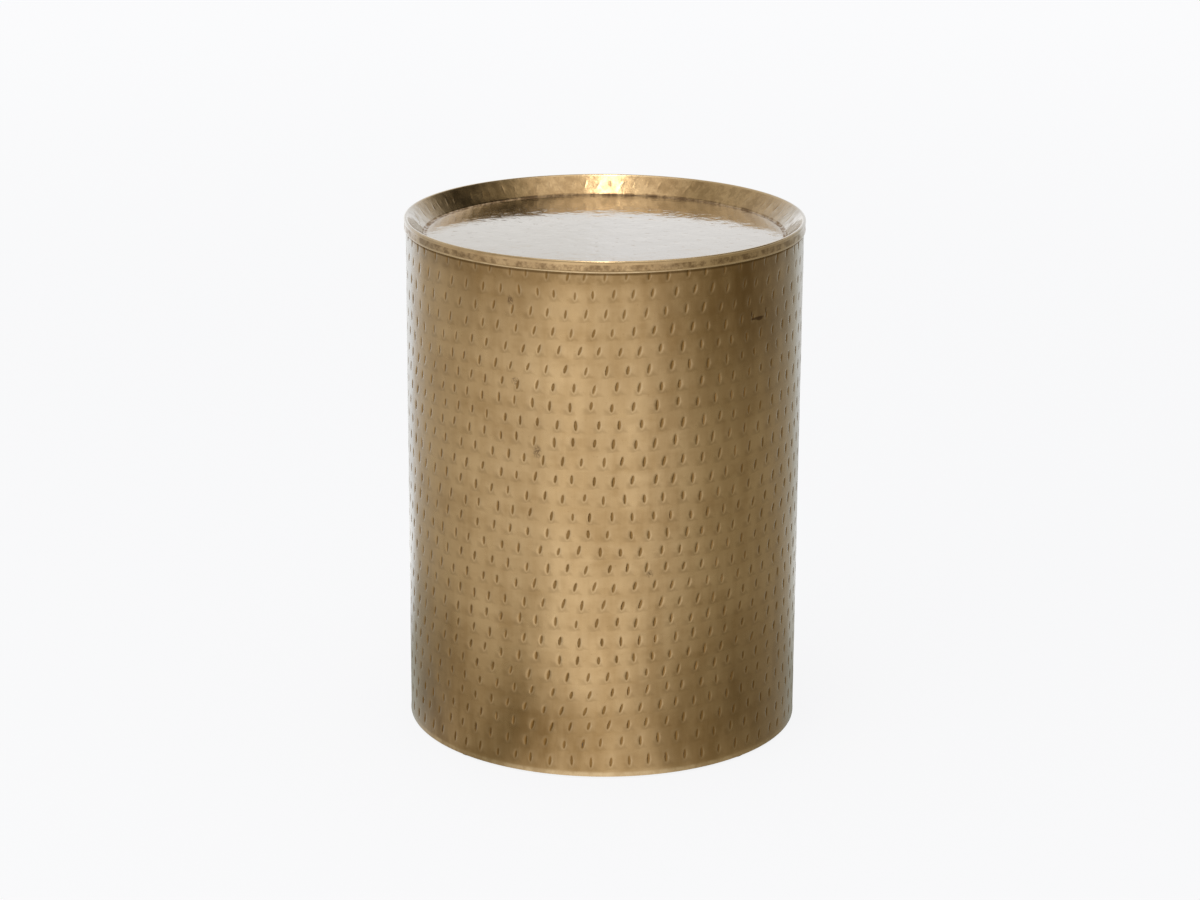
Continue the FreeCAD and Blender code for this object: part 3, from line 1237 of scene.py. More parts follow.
@dataclass(frozen=True)
class HammeredWall:
    """Drum wall: one hammered sheet, hemmed at the foot, rolled round and butted at the back."""

    radius: float = 190 * MM
    foot: float = 2 * MM
    height: float = 496.4 * MM
    sheet: float = 1 * MM
    slit: float = 0.4 * MM
    columns: int = 64
    rows: int = 28
    first_row: float = 6 * MM  # plain strip below the lowest row
    row_height: float = 17.35 * MM
    lip_corner: float = 0.2 * MM
    leaf_top: float = 9 * MM
    leaf_gap: float = 0.3 * MM
    leaf_corner: float = 0.15 * MM
    lining: float = 0.4  # tone of the marks on the sheet's far face, as a share
    hand: HandOfTheSmith = HandOfTheSmith(seed=11, row_drift=3.2 * MM, easing=(0.35, 0.46))
    ashore: Unevenness = Unevenness(21, 110 * MM, 420 * MM, 14)
    aloft: Unevenness = Unevenness(22, 150 * MM, 520 * MM, 14)
    wander: Pair = (4.5 * MM, 3.5 * MM)  # how far the rows stray, along them and up
    calm: Pair = (40 * MM, 30 * MM)  # from the seam and from the plain strips to where they do
    dishing: Unevenness = Unevenness(23, 24 * MM, 95 * MM, 40)
    waviness: float = 0.34 * MM
    rolled: Unevenness = Unevenness(24, 26 * MM, 120 * MM, 30)
    rolling: float = 0.30 * MM  # depth of the upright waves left by the rolls
    drawn: float = 0.12  # their width over their length
    level: Pair = (4 * MM, 9 * MM)  # from the lower and the upper edge to the full waves

    @property
    def length(self) -> float:
        """Length of the flat sheet, from one side of the slit to the other."""
        return math.tau * self.radius - self.slit

    @property
    def column_width(self) -> float:
        """Width of one tile of the sheet."""
        return self.length / self.columns

    @property
    def last_row(self) -> float:
        """Height at which the highest row ends."""
        return self.first_row + self.rows * self.row_height

    def build(self) -> Workpiece:
        """Hammer the sheet flat, fold its foot and roll it up.

        Returns:
            The finished wall.
        """
        mark = HammerMark(self.column_width, self.row_height)
        wall = self._sheet(mark.make("wall_tile"), 0.0)
        lining = self._sheet(mark.make_back("lining_tile", -self.sheet), -self.sheet)
        lining.set_dents(self.lining * lining.dents())
        wall.shift((0, self.first_row, 0))
        lining.shift((0, self.first_row, 0))
        self._fold_foot(wall)
        self._turn_lip(wall)
        wall.join([lining])
        self._close_ends(wall)
        self._roll(wall)
        wall.shade()
        return wall

    def _sheet(self, tile: Workpiece, surface: float) -> Workpiece:
        """Repeat a tile in staggered rows and give each mark its own strike.

        Args:
            tile: The tile to repeat.
            surface: Height of the sheet's open face.

        Returns:
            The flat sheet.
        """
        width, height = self.column_width, self.row_height
        second = tile.copy("second_row")
        tile.copies(self.columns, (width, 0, 0))
        second.copies(self.columns + 1, (width, 0, 0))
        second.shift((-width / 2, height, 0))
        second.trim(0, keep_above=True)
        second.trim(self.length, keep_above=False)
        tile.join([second])
        tile.copies(self.rows // 2, (0, 2 * height, 0))
        places, dents = tile.places(), tile.dents()
        still = (places[:, 0] < width / 2) | (places[:, 0] > self.length - width / 2)
        still &= (np.floor(places[:, 1] / height).astype(int) % 2) == 1
        places, dents = self.hand.strike(places, dents, (width, height), True, surface, still)
        places[still & (dents > SAME), 2] = surface
        tile.set_places(places)
        tile.set_dents(dents)
        tile.wipe(still)
        return tile

    def _fold_foot(self, wall: Workpiece) -> None:
        """Turn the lower edge in and up, as a hem, and bring it back to the wall's inner face.

        Args:
            wall: The flat sheet.
        """
        low, sheet, corner = self.first_row, self.sheet, self.leaf_corner
        leaf = sheet + self.leaf_gap
        round_outside = [(0.0, 1.0 * MM), (0.15 * MM, 0.45 * MM), (0.5 * MM, 0.12 * MM), (sheet, 0.0)]
        round_inside = [
            (leaf, 0.0),
            (leaf + 0.6 * MM, 0.12 * MM),
            (leaf + 0.9 * MM, 0.45 * MM),
            (leaf + sheet, 1.0 * MM),
        ]
        leaf_end = [
            (leaf + sheet, self.leaf_top - corner),
            (leaf + sheet - corner, self.leaf_top),
            (leaf + corner, self.leaf_top),
            (leaf, self.leaf_top - corner),
        ]
        fold = [(leaf, 1.25 * MM), (leaf - corner, 1.0 * MM), (sheet, 1.25 * MM), (sheet, low)]
        self._follow(wall, low, round_outside + round_inside + leaf_end + fold)

    def _turn_lip(self, wall: Workpiece) -> None:
        """Carry the sheet on above the last row and over its upper edge.

        Args:
            wall: The flat sheet.
        """
        high, sheet, corner = self.last_row, self.sheet, self.lip_corner
        path = [
            (0.0, self.height - corner),
            (corner, self.height),
            (sheet - corner, self.height),
            (sheet, self.height - corner),
            (sheet, high),
        ]
        self._follow(wall, high, path)

    def _follow(self, wall: Workpiece, start: float, path: Sequence[Pair]) -> None:
        """Extrude one long border of the sheet through a row of places.

        Args:
            wall: The flat sheet.
            start: Height of the border.
            path: Depth below the open face and height of each step.
        """
        with wall.editing("EDGE"):
            wall.select_border(lambda place: abs(place.y - start) < WELD)
            depth, height = 0.0, start
            for next_depth, next_height in path:
                wall.extrude((0, next_height - height, depth - next_depth))
                depth, height = next_depth, next_height

    def _close_ends(self, wall: Workpiece) -> None:
        """Close the two raw ends of the sheet at the seam.

        Args:
            wall: The flat sheet.
        """
        for end in (0.0, self.length):
            with wall.editing("EDGE"):
                wall.select_border(lambda place: abs(place.x - end) < 2 * WELD)
                bpy.ops.mesh.edge_face_add()
                bpy.ops.mesh.quads_convert_to_tris(ngon_method="CLIP")

    def _roll(self, wall: Workpiece) -> None:
        """Let the rows wander, dish the sheet a little and roll it round.

        Args:
            wall: The flat sheet.
        """
        x, y, z = wall.places().T
        free = rise(y - self.first_row, self.calm[1]) * rise(self.last_row - y, self.calm[1])
        free *= rise(x, self.calm[0]) * rise(self.length - x, self.calm[0])
        free = free * free * (3 - 2 * free)
        aside = self.ashore(x, y) * self.wander[0] * free
        above = self.aloft(x, y) * self.wander[1] * free
        dips = self.waviness * self.dishing.dips(x, y) + self.rolling * self.rolled.dips(x, self.drawn * y)
        x, y = x + aside, y + above
        z = z - dips * (rise(y, self.level[0]) * rise(self.height - y, self.level[1]))
        angle = (x - self.length / 2) / self.radius
        reach = self.radius + z
        wall.set_places(np.column_stack((reach * np.sin(angle), -reach * np.cos(angle), y + self.foot)))


# ---------------------------------------------------------------- tray


@dataclass(frozen=True)
class Meridian:
    """A straight stretch of the tray's section, from its outer end to its inner end."""

    outer: Pair  # radius and height
    inner: Pair

    @property
    def run(self) -> float:
        """Length along the sheet."""
        return math.dist(self.outer, self.inner)

    def wrap(self, flat: np.ndarray, length: float) -> np.ndarray:
        """Wrap a flat strip round the tray's axis.

        Args:
            flat: Places on the strip: along it, inwards across it and above it.
            length: Length of the whole strip, which becomes one turn.

        Returns:
            The places round the axis.
        """
        away = np.array(self.outer)
        inwards = (np.array(self.inner) - away) / self.run
        upright = np.array((inwards[1], -inwards[0]))
        section = away + np.outer(flat[:, 1], inwards) + np.outer(flat[:, 2], upright)
        angle = flat[:, 0] / length * math.tau
        return np.column_stack((section[:, 0] * np.sin(angle), -section[:, 0] * np.cos(angle), section[:, 1]))


@dataclass(frozen=True)
class SpunTray:
    """Tray spun from one disc: hammered floor, sloping wall, crest and skirt."""

    crest_centre: Pair = (189.4 * MM, 498 * MM)
    crest_radius: float = 2 * MM
    crest_steps: int = 9
    slope: float = 48.0
    floor_top: float = 482.5 * MM
    floor_edge: float = 172.74 * MM
    cove: float = 2.5 * MM
    cove_steps: int = 4
    sheet: float = 1 * MM
    skirt_foot: float = 489 * MM
    skirt_inner: float = 190.4 * MM
    skirt_tuck: float = 0.35 * MM  # how far the skirt is drawn in below the crest
    under_rings: Pair = (120 * MM, 40 * MM)  # radii of the edges under the floor
    wall_marks: int = 88
    wall_mark: Point = (2.8 * MM, 9.5 * MM, 0.22 * MM)  # width, length and depth
    wall_hand: HandOfTheSmith = HandOfTheSmith(
        seed=5, drift=(2.4 * MM, 1.4 * MM), lean=14.0, lean_spread=16.0, size_spread=0.25, faint=0.05
    )
    floor_rings: int = 10
    floor_mark: Point = (3.4 * MM, 5.6 * MM, 0.13 * MM)
    floor_hand: HandOfTheSmith = HandOfTheSmith(
        seed=30, drift=(2.2 * MM, 1.6 * MM), lean=0.0, lean_spread=14.0, size_spread=0.2, faint=0.2
    )
    halo: float = 0.06 * MM
    mark_spacing: float = 18.5 * MM
    bridge: float = 2.2 * MM
    dishing: Unevenness = Unevenness(41, 26 * MM, 110 * MM, 36)
    waviness: float = 0.22 * MM
    calm: float = 15 * MM  # from the cove to the full waves
    ripple: Unevenness = Unevenness(42, 14 * MM, 70 * MM, 40)
    rippling: float = 0.22 * MM  # how far the skirt is drawn in where it is uneven
    crease: float = 38.0  # degrees from which an edge stays sharp

    @property
    def tilt(self) -> float:
        """Slope of the wall, in radians."""
        return math.radians(self.slope)

    @property
    def cove_reach(self) -> float:
        """Length that the cove takes of the floor, and of the wall."""
        return self.cove * math.tan(math.radians(self.slope / 2))

    @property
    def wall_foot(self) -> Pair:
        """Radius and height at which the cove meets the wall."""
        reach = self.cove_reach
        return self.floor_edge + reach * math.cos(self.tilt), self.floor_top + reach * math.sin(self.tilt)

    @property
    def floor_radius(self) -> float:
        """Radius at which the flat floor ends."""
        return self.floor_edge - self.cove_reach

    @property
    def ring_step(self) -> float:
        """Distance from each ring of the floor to the next."""
        return self.floor_radius / self.floor_rings

    def build(self) -> Workpiece:
        """Hammer the wall and the floor's rings, join them and fold the rim.

        Returns:
            The finished tray.
        """
        tray = self._wall_strip()
        self._fold_rim(tray)
        self._run_cove(tray)
        tray.join([self._floor_ring(number) for number in range(1, self.floor_rings)])
        self._bridge_rings(tray)
        self._close_middle(tray)
        self._settle(tray)
        tray.shade(self.crease)
        return tray

    def _wall_strip(self) -> Workpiece:
        """Hammer the sloping wall between the cove and the crest.

        Returns:
            The strip, wrapped round the axis.
        """
        top = (
            self.crest_centre[0] - self.crest_radius * math.sin(self.tilt),
            self.crest_centre[1] + self.crest_radius * math.cos(self.tilt),
        )
        stretch = Meridian(top, self.wall_foot)
        return self._strip("tray_wall", stretch, self.wall_marks, self.wall_mark, self.wall_hand)

    def _floor_ring(self, number: int) -> Workpiece:
        """Hammer one ring of the floor.

        Args:
            number: 1 for the ring next to the middle.

        Returns:
            The ring, lying flat.
        """
        inner, outer = self.ring_step * number, self.ring_step * (number + 1) - self.bridge
        count = max(5, round(math.pi * (inner + outer) / self.mark_spacing))
        stretch = Meridian((outer, self.floor_top), (inner, self.floor_top))
        hand = replace(self.floor_hand, seed=self.floor_hand.seed + number)
        return self._strip(f"floor_ring_{number}", stretch, count, self.floor_mark, hand)

    def _strip(
        self, name: str, stretch: Meridian, count: int, mark: Point, hand: HandOfTheSmith
    ) -> Workpiece:
        """Hammer one flat strip and wrap it round the axis.

        Args:
            name: Name of the object.
            stretch: Where the strip lies in the tray's section.
            count: Marks in the strip.
            mark: Width, length and depth of a mark.
            hand: How the marks differ.

        Returns:
            The strip, closed round the axis.
        """
        width = math.pi * (stretch.outer[0] + stretch.inner[0]) / count
        strip = HammerMark(width, stretch.run, *mark, halo=self.halo).make(name)
        strip.copies(count, (width, 0, 0))
        places, dents = hand.strike(strip.places(), strip.dents(), (width, stretch.run))
        strip.set_dents(dents)
        strip.set_places(stretch.wrap(places, width * count))
        strip.weld()
        return strip

    def _on_ring(self, place: Vector, radii: Sequence[float]) -> bool:
        """Whether a place is at one of several distances from the axis."""
        return min(abs(math.hypot(place.x, place.y) - radius) for radius in radii) < BESIDE

    def _select_floor_border(self, tray: Workpiece, radii: Sequence[float]) -> None:
        """Select round borders of the floor's upper face, in edit mode.

        Args:
            tray: The piece.
            radii: Their radii.
        """
        low = self.floor_top - 0.4 * self.sheet
        tray.select_border(lambda place: place.z > low and self._on_ring(place, radii))

    def _follow(self, tray: Workpiece, start: Pair, path: Sequence[Pair]) -> None:
        """Extrude a round border of the tray through a row of places.

        Args:
            tray: The piece.
            start: Radius and height of the border.
            path: Radius and height of each step.
        """
        radius, height = start
        with tray.editing("EDGE"):
            tray.select_border(
                lambda place: self._on_ring(place, start[:1]) and abs(place.z - start[1]) < BESIDE
            )
            for next_radius, next_height in path:
                tray.extrude((0, 0, next_height - height))
                tray.resize(next_radius / radius, next_radius / radius)
                radius, height = next_radius, next_height

    def _arc(self, centre: Pair, radius: float, angles: Sequence[float]) -> list[Pair]:
        """Places on an arc of the section.

        Args:
            centre: Radius and height of its centre.
            radius: Its own radius.
            angles: Angle of each place, in radians, from the outward direction.

        Returns:
            Radius and height of each place.
        """
        across, up = centre
        return [(across + radius * math.cos(angle), up + radius * math.sin(angle)) for angle in angles]

    def _fold_rim(self, tray: Workpiece) -> None:
        """Carry the sheet over the crest, down the skirt and back under the wall and floor.

        Args:
            tray: The piece.
        """
        (across, up), radius, foot = self.crest_centre, self.crest_radius, self.skirt_foot
        turns = [math.radians(angle) for angle in np.linspace(90 + self.slope, 0, self.crest_steps)]
        crest = self._arc(self.crest_centre, radius, turns)
        outer, inner = across + radius, self.skirt_inner
        under, low = up + radius - self.sheet, self.floor_top - self.sheet
        shift = self.sheet * math.tan(self.tilt / 2)
        crest_bend = self.floor_edge + (up + radius - self.floor_top) / math.tan(self.tilt)
        skirt = [(outer - self.skirt_tuck, up - drop * MM) for drop in (1.4, 3.0, 4.6, 6.2)]
        skirt += [
            (outer - inset * MM, foot + above * MM)
            for inset, above in ((0.30, 1.9), (0.05, 1.3), (0.0, 0.8), (0.05, 0.35), (0.3, 0.0))
        ]
        skirt += [(inner + 0.2 * MM, foot), (inner, foot + 0.3 * MM)]
        skirt += [(inner, under - 0.6 * MM), (inner - 0.6 * MM, under), (crest_bend + shift, under)]
        skirt += [(self.floor_edge + shift, low)] + [(ring, low) for ring in self.under_rings]
        self._follow(tray, crest[0], crest[1:] + skirt)
        high = self.floor_top - 0.5 * self.sheet
        with tray.editing("EDGE"):
            tray.select_border(lambda place: self._on_ring(place, self.under_rings[1:]) and place.z < high)
            bpy.ops.mesh.edge_face_add()

    def _run_cove(self, tray: Workpiece) -> None:
        """Round the bend from the wall's foot to the flat floor.

        Args:
            tray: The piece.
        """
        across, up = self.floor_radius, self.floor_top + self.cove
        path = [
            (across + self.cove * math.sin(angle), up - self.cove * math.cos(angle))
            for angle in np.linspace(self.tilt, 0, self.cove_steps)[1:]
        ]
        self._follow(tray, self.wall_foot, path)

    def _bridge_rings(self, tray: Workpiece) -> None:
        """Bridge the narrow gaps between the rings of the floor.

        Args:
            tray: The piece.
        """
        for number in range(2, self.floor_rings + 1):
            outside = self.ring_step * number
            with tray.editing("EDGE"):
                self._select_floor_border(tray, (outside, outside - self.bridge))
                bpy.ops.mesh.bridge_edge_loops()

    def _close_middle(self, tray: Workpiece) -> None:
        """Draw the innermost ring together over the middle of the floor.

        Args:
            tray: The piece.
        """
        with tray.editing("EDGE"):
            self._select_floor_border(tray, (self.ring_step,))
            for share in (0.66, 0.5):
                tray.extrude((0, 0, 0))
                tray.resize(share, share)
            tray.extrude((0, 0, 0))
            bpy.ops.mesh.merge(type="CENTER")

    def _settle(self, tray: Workpiece) -> None:
        """Make the floor and the skirt slightly uneven, as struck sheet is.

        Args:
            tray: The piece.
        """
        x, y, z = tray.places().T
        radius = np.hypot(x, y)
        on_floor = (z > self.floor_top - 0.7 * self.sheet) & (radius < self.floor_radius)
        full = rise(self.floor_radius - radius, self.calm)
        z = np.where(on_floor, z - self.waviness * self.dishing.dips(x, y) * full, z)
        around = np.arctan2(x, -y) * self.skirt_inner
        on_skirt = radius > self.skirt_inner + 0.5 * self.sheet
        pull = np.where(on_skirt, self.rippling * self.ripple.dips(around, z), 0.0)
        share = (radius - pull) / np.maximum(radius, WELD)
        tray.set_places(np.column_stack((x * share, y * share, z)))


# ---------------------------------------------------------------- whole table


def dress_nodes(slot: Slot, material: bpy.types.Material, names: Sequence[str]) -> None:
    """Put one material on pieces that keep their own meshes.

    Args:
        slot: Slot of the record that it stands for.
        material: The material.
        names: Names of the nodes.
    """
    for name in names:
        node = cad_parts[name]
        node.data.materials.clear()
        node.data.materials.append(material)
        log.info("%s: %s for %s", name, material.name, slot.value)


@dataclass(frozen=True)
class DrumAssembly:
    """Drum with its hammered wall, hoop, seam strip, base and feet."""

    wall: HammeredWall = HammeredWall()
    band: Pair = (180 * MM, 200 * MM)  # radii that take in the whole wall
    paler_edge: Colour = (0.800, 0.600, 0.350)
    skirt_shadow_and_grime: Colour = (0.100, 0.055, 0.020)
    # tone of the darker band at the top of the wall
    patina_and_shade: Colour = (0.250, 0.142, 0.048)

    def build(self) -> None:
        """Build the wall and let it stand for its plain solid."""
        wall = self.wall.build()
        wall.finish("hammered_wall", self._finish().make(), Body.DRUM, Slot.BRASS)
        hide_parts("drum_shell")

    def dress(self) -> None:
        """Give the drum's other pieces their finishes."""
        dress_nodes(Slot.STEEL, PaintedSteel().make(), ["seam_strip", "top_hoop", "base_ring"])
        dress_nodes(Slot.BOARD, StainedBoard("base_board").make(), ["base_panel"])
        dress_nodes(Slot.ZINC, ZincPlate().make(), ["panel_screws", "glide_screws"])
        dress_nodes(Slot.PLASTIC, MouldedPlastic().make(), [f"glide_{number}" for number in range(1, 5)])

    def _finish(self) -> AgedBrass:
        """Brass with this drum's own stains and painted shade, its darker, shadowed and paler rings, and
        scuffs.

        Returns:
            The finish.
        """
        foot, mouth = self.wall.foot, self.wall.foot + self.wall.height
        stains_and_shade = (
            # those low at the front and the large one at the upper right also paint the shade there; the
            # others are stains and patina
            StainAndShade((0.141, -0.127, 0.475), 205 * MM, 1.0),
            StainAndShade((0.110, -0.155, 0.030), 170 * MM, 0.70),
            StainAndShade((-0.163, -0.098, 0.030), 160 * MM, 0.95),
            StainAndShade((-0.050, -0.183, 0.035), 92 * MM, 0.90),
            StainAndShade((-0.064, -0.179, 0.340), 60 * MM, 0.15),
            StainAndShade((-0.105, -0.158, 0.490), 120 * MM, 0.65),
            StainAndShade((0.180, 0.060, 0.300), 120 * MM, 0.50),
            StainAndShade((0.060, 0.180, 0.120), 150 * MM, 0.60),
            StainAndShade((-0.110, 0.155, 0.420), 140 * MM, 0.60),
            StainAndShade((-0.186, 0.040, 0.200), 110 * MM, 0.40),
        )
        rings = (
            # paler along the foot
            SheetRing(self.paler_edge, 0.70, self.band, (0, foot + 3 * MM), (1 * MM, 3 * MM)),
            # painted shadow of the tray's skirt, with grime: dark just below the skirt, dulling the lacquer's
            # shine there
            SheetRing(
                self.skirt_shadow_and_grime,
                0.92,
                self.band,
                (mouth - 11 * MM, mouth),
                fade=(1 * MM, 1.5 * MM),
                ragged=0.2,
                dulls=0.9,
            ),
            # darker towards the top: fully in the top 13 mm, fading out over 16 mm below that
            SheetRing(self.patina_and_shade, 0.50, self.band, (mouth - 13 * MM, mouth), (1 * MM, 16 * MM)),
        )
        scuffs = (
            Scuff((-0.0615, -0.1798, 0.3181), 9 * MM, (1.6, 1.6, 1)),
            Scuff((-0.0861, -0.1694, 0.4586), 7 * MM, (1.5, 1.5, 1)),
            Scuff((-0.0816, -0.1716, 0.3832), 5 * MM),
            Scuff((0.0430, -0.1851, 0.2025), 5 * MM),
            Scuff((0.1410, -0.1273, 0.4322), 12 * MM, (1, 1, 7), True),
            Scuff((0.1430, -0.1250, 0.4312), 6 * MM, (1, 1, 2.6), True),
            Scuff((0.1351, -0.1336, 0.4370), 5 * MM, (4, 4, 1), True),
            Scuff((0.1490, -0.1180, 0.4370), 5 * MM, (4, 4, 1), True),
        )
        return AgedBrass("hammered_brass", stains_and_shade=stains_and_shade, rings=rings, scuffs=scuffs)


@dataclass(frozen=True)
class TrayAssembly:
    """Lift-off tray with the board under its floor."""

    tray: SpunTray = SpunTray()
    paler_edge: Colour = (0.820, 0.620, 0.370)
    cove_grime_and_shade: Colour = (0.150, 0.080, 0.030)
    skirt_grime: Colour = (0.210, 0.116, 0.040)
    wall_grime: Colour = (0.235, 0.130, 0.040)

    def build(self) -> None:
        """Build the tray and let it stand for its plain solid."""
        tray = self.tray.build()
        tray.finish("spun_tray", self._finish().make(), Body.TRAY, Slot.BRASS)
        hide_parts("tray_top")

    def dress(self) -> None:
        """Give the board its finish."""
        dress_nodes(Slot.BOARD, StainedBoard("tray_board").make(), ["tray_backing"])

    def _finish(self) -> AgedBrass:
        """Smoother brass, with grime and painted shade in the cove, grimy on the skirt and paler along its
        edges.

        Returns:
            The finish.
        """
        floor, foot = self.tray.floor_top, self.tray.skirt_foot
        edge, top = self.tray.floor_edge, self.tray.crest_centre[1]
        skirt = (190 * MM, 192 * MM)
        rings = (
            # grime and painted shade in the crease where the floor meets the wall, dulling the lacquer's
            # shine there
            SheetRing(
                self.cove_grime_and_shade,
                0.9,
                (edge - 2.2 * MM, edge + 0.8 * MM),
                (floor - 1 * MM, floor + 1.5 * MM),
                fade=(1.2 * MM, 0.5 * MM),
                ragged=0.75,
                dulls=0.95,
            ),
            SheetRing(self.skirt_grime, 0.80, skirt, (foot + 2 * MM, top - 2 * MM), ragged=0.9, dulls=0.6),
            SheetRing(
                self.wall_grime,
                0.36,
                (edge + 2 * MM, 187 * MM),
                (floor + 2 * MM, top),
                fade=(3 * MM, 3 * MM),
                ragged=1.0,
                dulls=0.4,
            ),
            # paler along the skirt's lower edge, and over the crest
            SheetRing(self.paler_edge, 0.75, skirt, (foot - 1 * MM, foot + 1.1 * MM)),
            SheetRing(self.paler_edge, 0.75, (187.5 * MM, 192 * MM), (top + 0.9 * MM, top + 3 * MM)),
        )
        return AgedBrass(
            "tray_brass",
            lacquer=(0.93, 0.908, 0.880),
            roughness=(0.14, 0.23),
            lacquer_roughness=0.075,
            coat=0.55,
            rim_strength=3.37,
            rim_falloff=3.9,
            pooled=0.16,
            lip_highlight=0.12,
            shade_under_marks=0.10,
            planishing=0.24 * MM,
            bow=4.2 * MM,
            bow_radius=edge,
            rings=rings,
        )


# ---------------------------------------------------------------- studio


Stops = tuple[tuple[float, float], ...]  # degrees to the right of the front, and grey value


@dataclass(frozen=True)
class SoftBox:
    """One soft lamp."""

    name: str
    place: Point
    target: Point
    size: Pair
    power: float  # watts
    mirrored: bool = True  # whether metal shows its reflection
    tone: Colour = (1.0, 0.985, 0.96)

    def hang(self) -> None:
        """Hang the lamp in the studio."""
        lamp = bpy.data.lights.new(self.name, "AREA")
        lamp.shape = "RECTANGLE"
        lamp.size, lamp.size_y = self.size
        lamp.energy = self.power
        lamp.color = self.tone
        item = bpy.data.objects.new(self.name, lamp)
        item.visible_glossy = self.mirrored
        item.location = self.place
        facing = Vector(self.target) - Vector(self.place)
        item.rotation_euler = facing.to_track_quat("-Z", "Y").to_euler()
        bpy.context.scene.collection.objects.link(item)


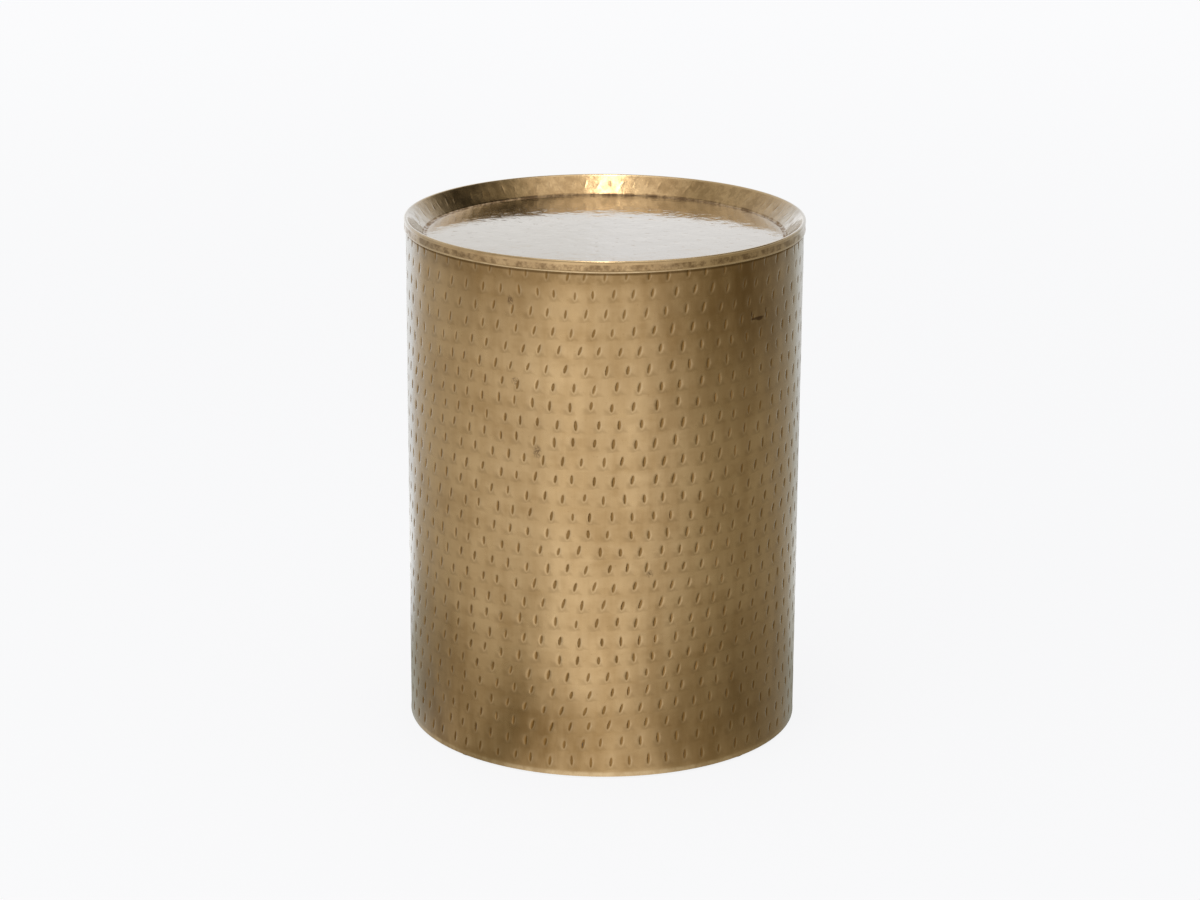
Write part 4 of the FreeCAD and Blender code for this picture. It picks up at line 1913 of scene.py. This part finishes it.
@dataclass(frozen=True)
class Studio:
    """Pale floor, soft lamps and the camera."""

    lens: float = 95.01
    sensor: float = 36.0
    camera_place: Point = (-0.0106, -2.9528, 1.1589)
    camera_tilt: float = 73.175
    camera_turn: float = -0.140
    camera_roll: float = 0.333
    lamps: tuple[SoftBox, ...] = (
        SoftBox("overhead", (-0.05, -0.50, 2.35), (-0.05, -0.50, 0.0), (0.25, 1.2), 4.1),
        SoftBox("left_box", (-1.9, -1.9, 1.3), (0.0, 0.0, 0.25), (2.2, 2.2), 20.0, mirrored=False),
    )
    floor_side: float = 60.0
    floor_back: float = 10.0  # how far its middle lies behind the table
    paper: Colour = (0.86, 0.86, 0.86)
    blank: Colour = (0.988, 0.990, 1.0)  # what the camera sees of the floor
    blankness: float = 0.88  # how far the shadow is washed out
    sky: Colour = (0.975, 0.978, 0.982)  # what the camera sees beyond the floor
    room: Colour = (0.62, 0.62, 0.63)  # light on what doesn't mirror
    ceiling: Colour = (0.98, 0.96, 0.93)
    ceiling_way: Point = (0, -0.25, 0.97)
    far_floor: Stops = (
        (-180, 1.0), (-160, 0.92), (-141, 0.66), (-119, 0.45), (-95, 0.52), (-72, 0.64), (-52, 0.76),
        (-36, 0.80), (-18, 1.0), (-2, 0.82), (14, 0.92), (31, 0.72), (48, 0.46), (72, 0.31), (101, 0.30),
        (122, 0.32), (139, 0.40), (162, 0.74), (180, 1.0),
    )  # fmt: skip
    near_floor: Stops = (
        (-180, 1.15), (-164, 1.85), (-148, 1.5), (-134, 0.70), (-119, 0.32), (-94, 0.33), (-60, 0.52),
        (-38, 0.35), (-16, 0.90), (0, 1.0), (12, 0.84), (25, 0.52), (40, 0.38), (60, 0.26), (110, 0.26),
        (130, 0.44), (147, 1.02), (164, 1.4), (180, 1.15),
    )  # fmt: skip
    middle_room: Stops = (
        (-180, 0.68), (-150, 0.60), (-120, 0.52), (-80, 0.46), (-40, 0.46), (0, 0.48), (43, 0.46),
        (75, 0.42), (103, 0.42), (121, 0.42), (141, 0.42), (156, 0.62), (180, 0.72),
    )  # fmt: skip
    upper_room: Stops = (
        (-180, 0.68), (-150, 0.60), (-120, 0.50), (-80, 0.40), (-40, 0.42), (0, 0.46), (43, 0.42),
        (80, 0.40), (103, 0.19), (121, 0.03), (141, 0.13), (156, 0.66), (180, 0.72),
    )  # fmt: skip

    def build(self) -> None:
        """Set up the floor, the surroundings, the lamps and the camera."""
        self._floor()
        self._surroundings()
        for lamp in self.lamps:
            lamp.hang()
        self._camera()

    def _round_about(self, bench: NodeBench, stops: Stops) -> Socket:
        """Brightness of the studio in each direction round the table.

        Args:
            bench: Nodes that it is part of.
            stops: Directions from -180 to 180 with their grey values.

        Returns:
            Colour, a little warmer where the room is dim.
        """
        turned = bench.stretch((1, 1, 1), (0, 0, math.radians(90)))
        around = bench.add("TexGradient", {"Vector": turned}, gradient_type="RADIAL").outputs["Fac"]
        return bench.ramp(around, [(0.5 + degrees / 360, self._warmed(grey)) for degrees, grey in stops])

    def _warmed(self, grey: float) -> Colour:
        """Grey of the room, warmer where it is dim."""
        dim = min(max((0.72 - grey) / 0.42, 0.0), 1.0)
        return grey * (1 + 0.03 * dim), grey * (1 - 0.02 * dim), grey * (1 - 0.20 * dim)

    def _floor(self) -> None:
        """Lay a wide pale floor that keeps the table's shadow."""
        bpy.ops.object.select_all(action="DESELECT")
        bpy.ops.mesh.primitive_plane_add(size=1)
        floor = Workpiece(bpy.context.object)
        floor.item.name = "floor"
        with floor.editing():
            bpy.ops.mesh.select_all(action="SELECT")
            floor.resize(self.floor_side, self.floor_side)
        floor.shift((0, self.floor_back, 0))
        floor.item.data.materials.append(self._floor_material())

    def _floor_material(self) -> bpy.types.Material:
        """Paper that keeps a soft shadow, is nearly blank to the camera and can't be seen from below.

        Returns:
            The material.
        """
        material = bpy.data.materials.new("pale_floor")
        bench = NodeBench(material)
        far = bench.vector("LENGTH", bench.spot)
        paper = bench.add("BsdfDiffuse", {"Color": self.paper})
        growing = bench.level(far, 0.8, 5.0, (1.0, 1.035))
        blank = bench.add("Emission", {"Color": self.blank, "Strength": growing})
        grey = bench.blend(
            bench.level(far, 0.35, 0.95),
            self._round_about(bench, self.near_floor),
            self._round_about(bench, self.far_floor),
        )
        mirrored = bench.add("Emission", {"Color": grey, "Strength": 1.0})
        shadowed = bench.mix_shaders(self.blankness, paper, blank)
        whole = bench.mix_shaders(bench.mirrored(), paper, mirrored)
        whole = bench.mix_shaders(bench.seen(), whole, shadowed)
        below = bench.add("NewGeometry").outputs["Backfacing"]
        bench.show(bench.mix_shaders(below, whole, bench.add("BsdfTransparent")))
        return material

    def _surroundings(self) -> None:
        """Light the room evenly and let metal mirror a pale backdrop and a soft glow overhead."""
        world = bpy.data.worlds.new("studio")
        bpy.context.scene.world = world
        bench = NodeBench(world)
        up = bench.add("SeparateXYZ", {"Vector": bench.spot}).outputs["Z"]
        overhead = bench.vector("DOT_PRODUCT", bench.spot, self.ceiling_way)
        layers = [
            (bench.level(up, 0.0, 0.28), self._round_about(bench, self.middle_room)),
            (bench.level(up, 0.38, 0.52), self._round_about(bench, self.upper_room)),
            (bench.level(overhead, 0.80, 0.97), self.ceiling),
        ]
        mirrored = self._round_about(bench, self.far_floor)
        for share, tone in layers:
            mirrored = bench.blend(share, mirrored, tone)
        colour = bench.blend(bench.mirrored(), self.room, mirrored)
        colour = bench.blend(bench.seen(), colour, self.sky)
        bench.show(bench.add("Background", {"Color": colour, "Strength": 1.0}), "OutputWorld")

    def _camera(self) -> None:
        """Stand the camera in front of the table and a little above it."""
        data = bpy.data.cameras.new("camera")
        data.lens = self.lens
        data.sensor_width = self.sensor
        item = bpy.data.objects.new("camera", data)
        item.location = self.camera_place
        turn = Matrix.Rotation(math.radians(self.camera_turn), 3, "Z")
        tilt = Matrix.Rotation(math.radians(self.camera_tilt), 3, "X")
        roll = Matrix.Rotation(math.radians(self.camera_roll), 3, "Z")
        item.rotation_euler = (turn @ tilt @ roll).to_euler()
        bpy.context.scene.collection.objects.link(item)
        bpy.context.scene.camera = item


def main() -> None:
    """Build the table, its studio and the camera."""
    logging.basicConfig(level=logging.INFO, format="%(message)s")
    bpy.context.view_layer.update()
    drum = DrumAssembly()
    drum.build()
    drum.dress()
    tray = TrayAssembly()
    tray.build()
    tray.dress()
    Studio().build()
    bpy.context.scene.view_settings.view_transform = "Standard"


if __name__ == "__main__":
    main()
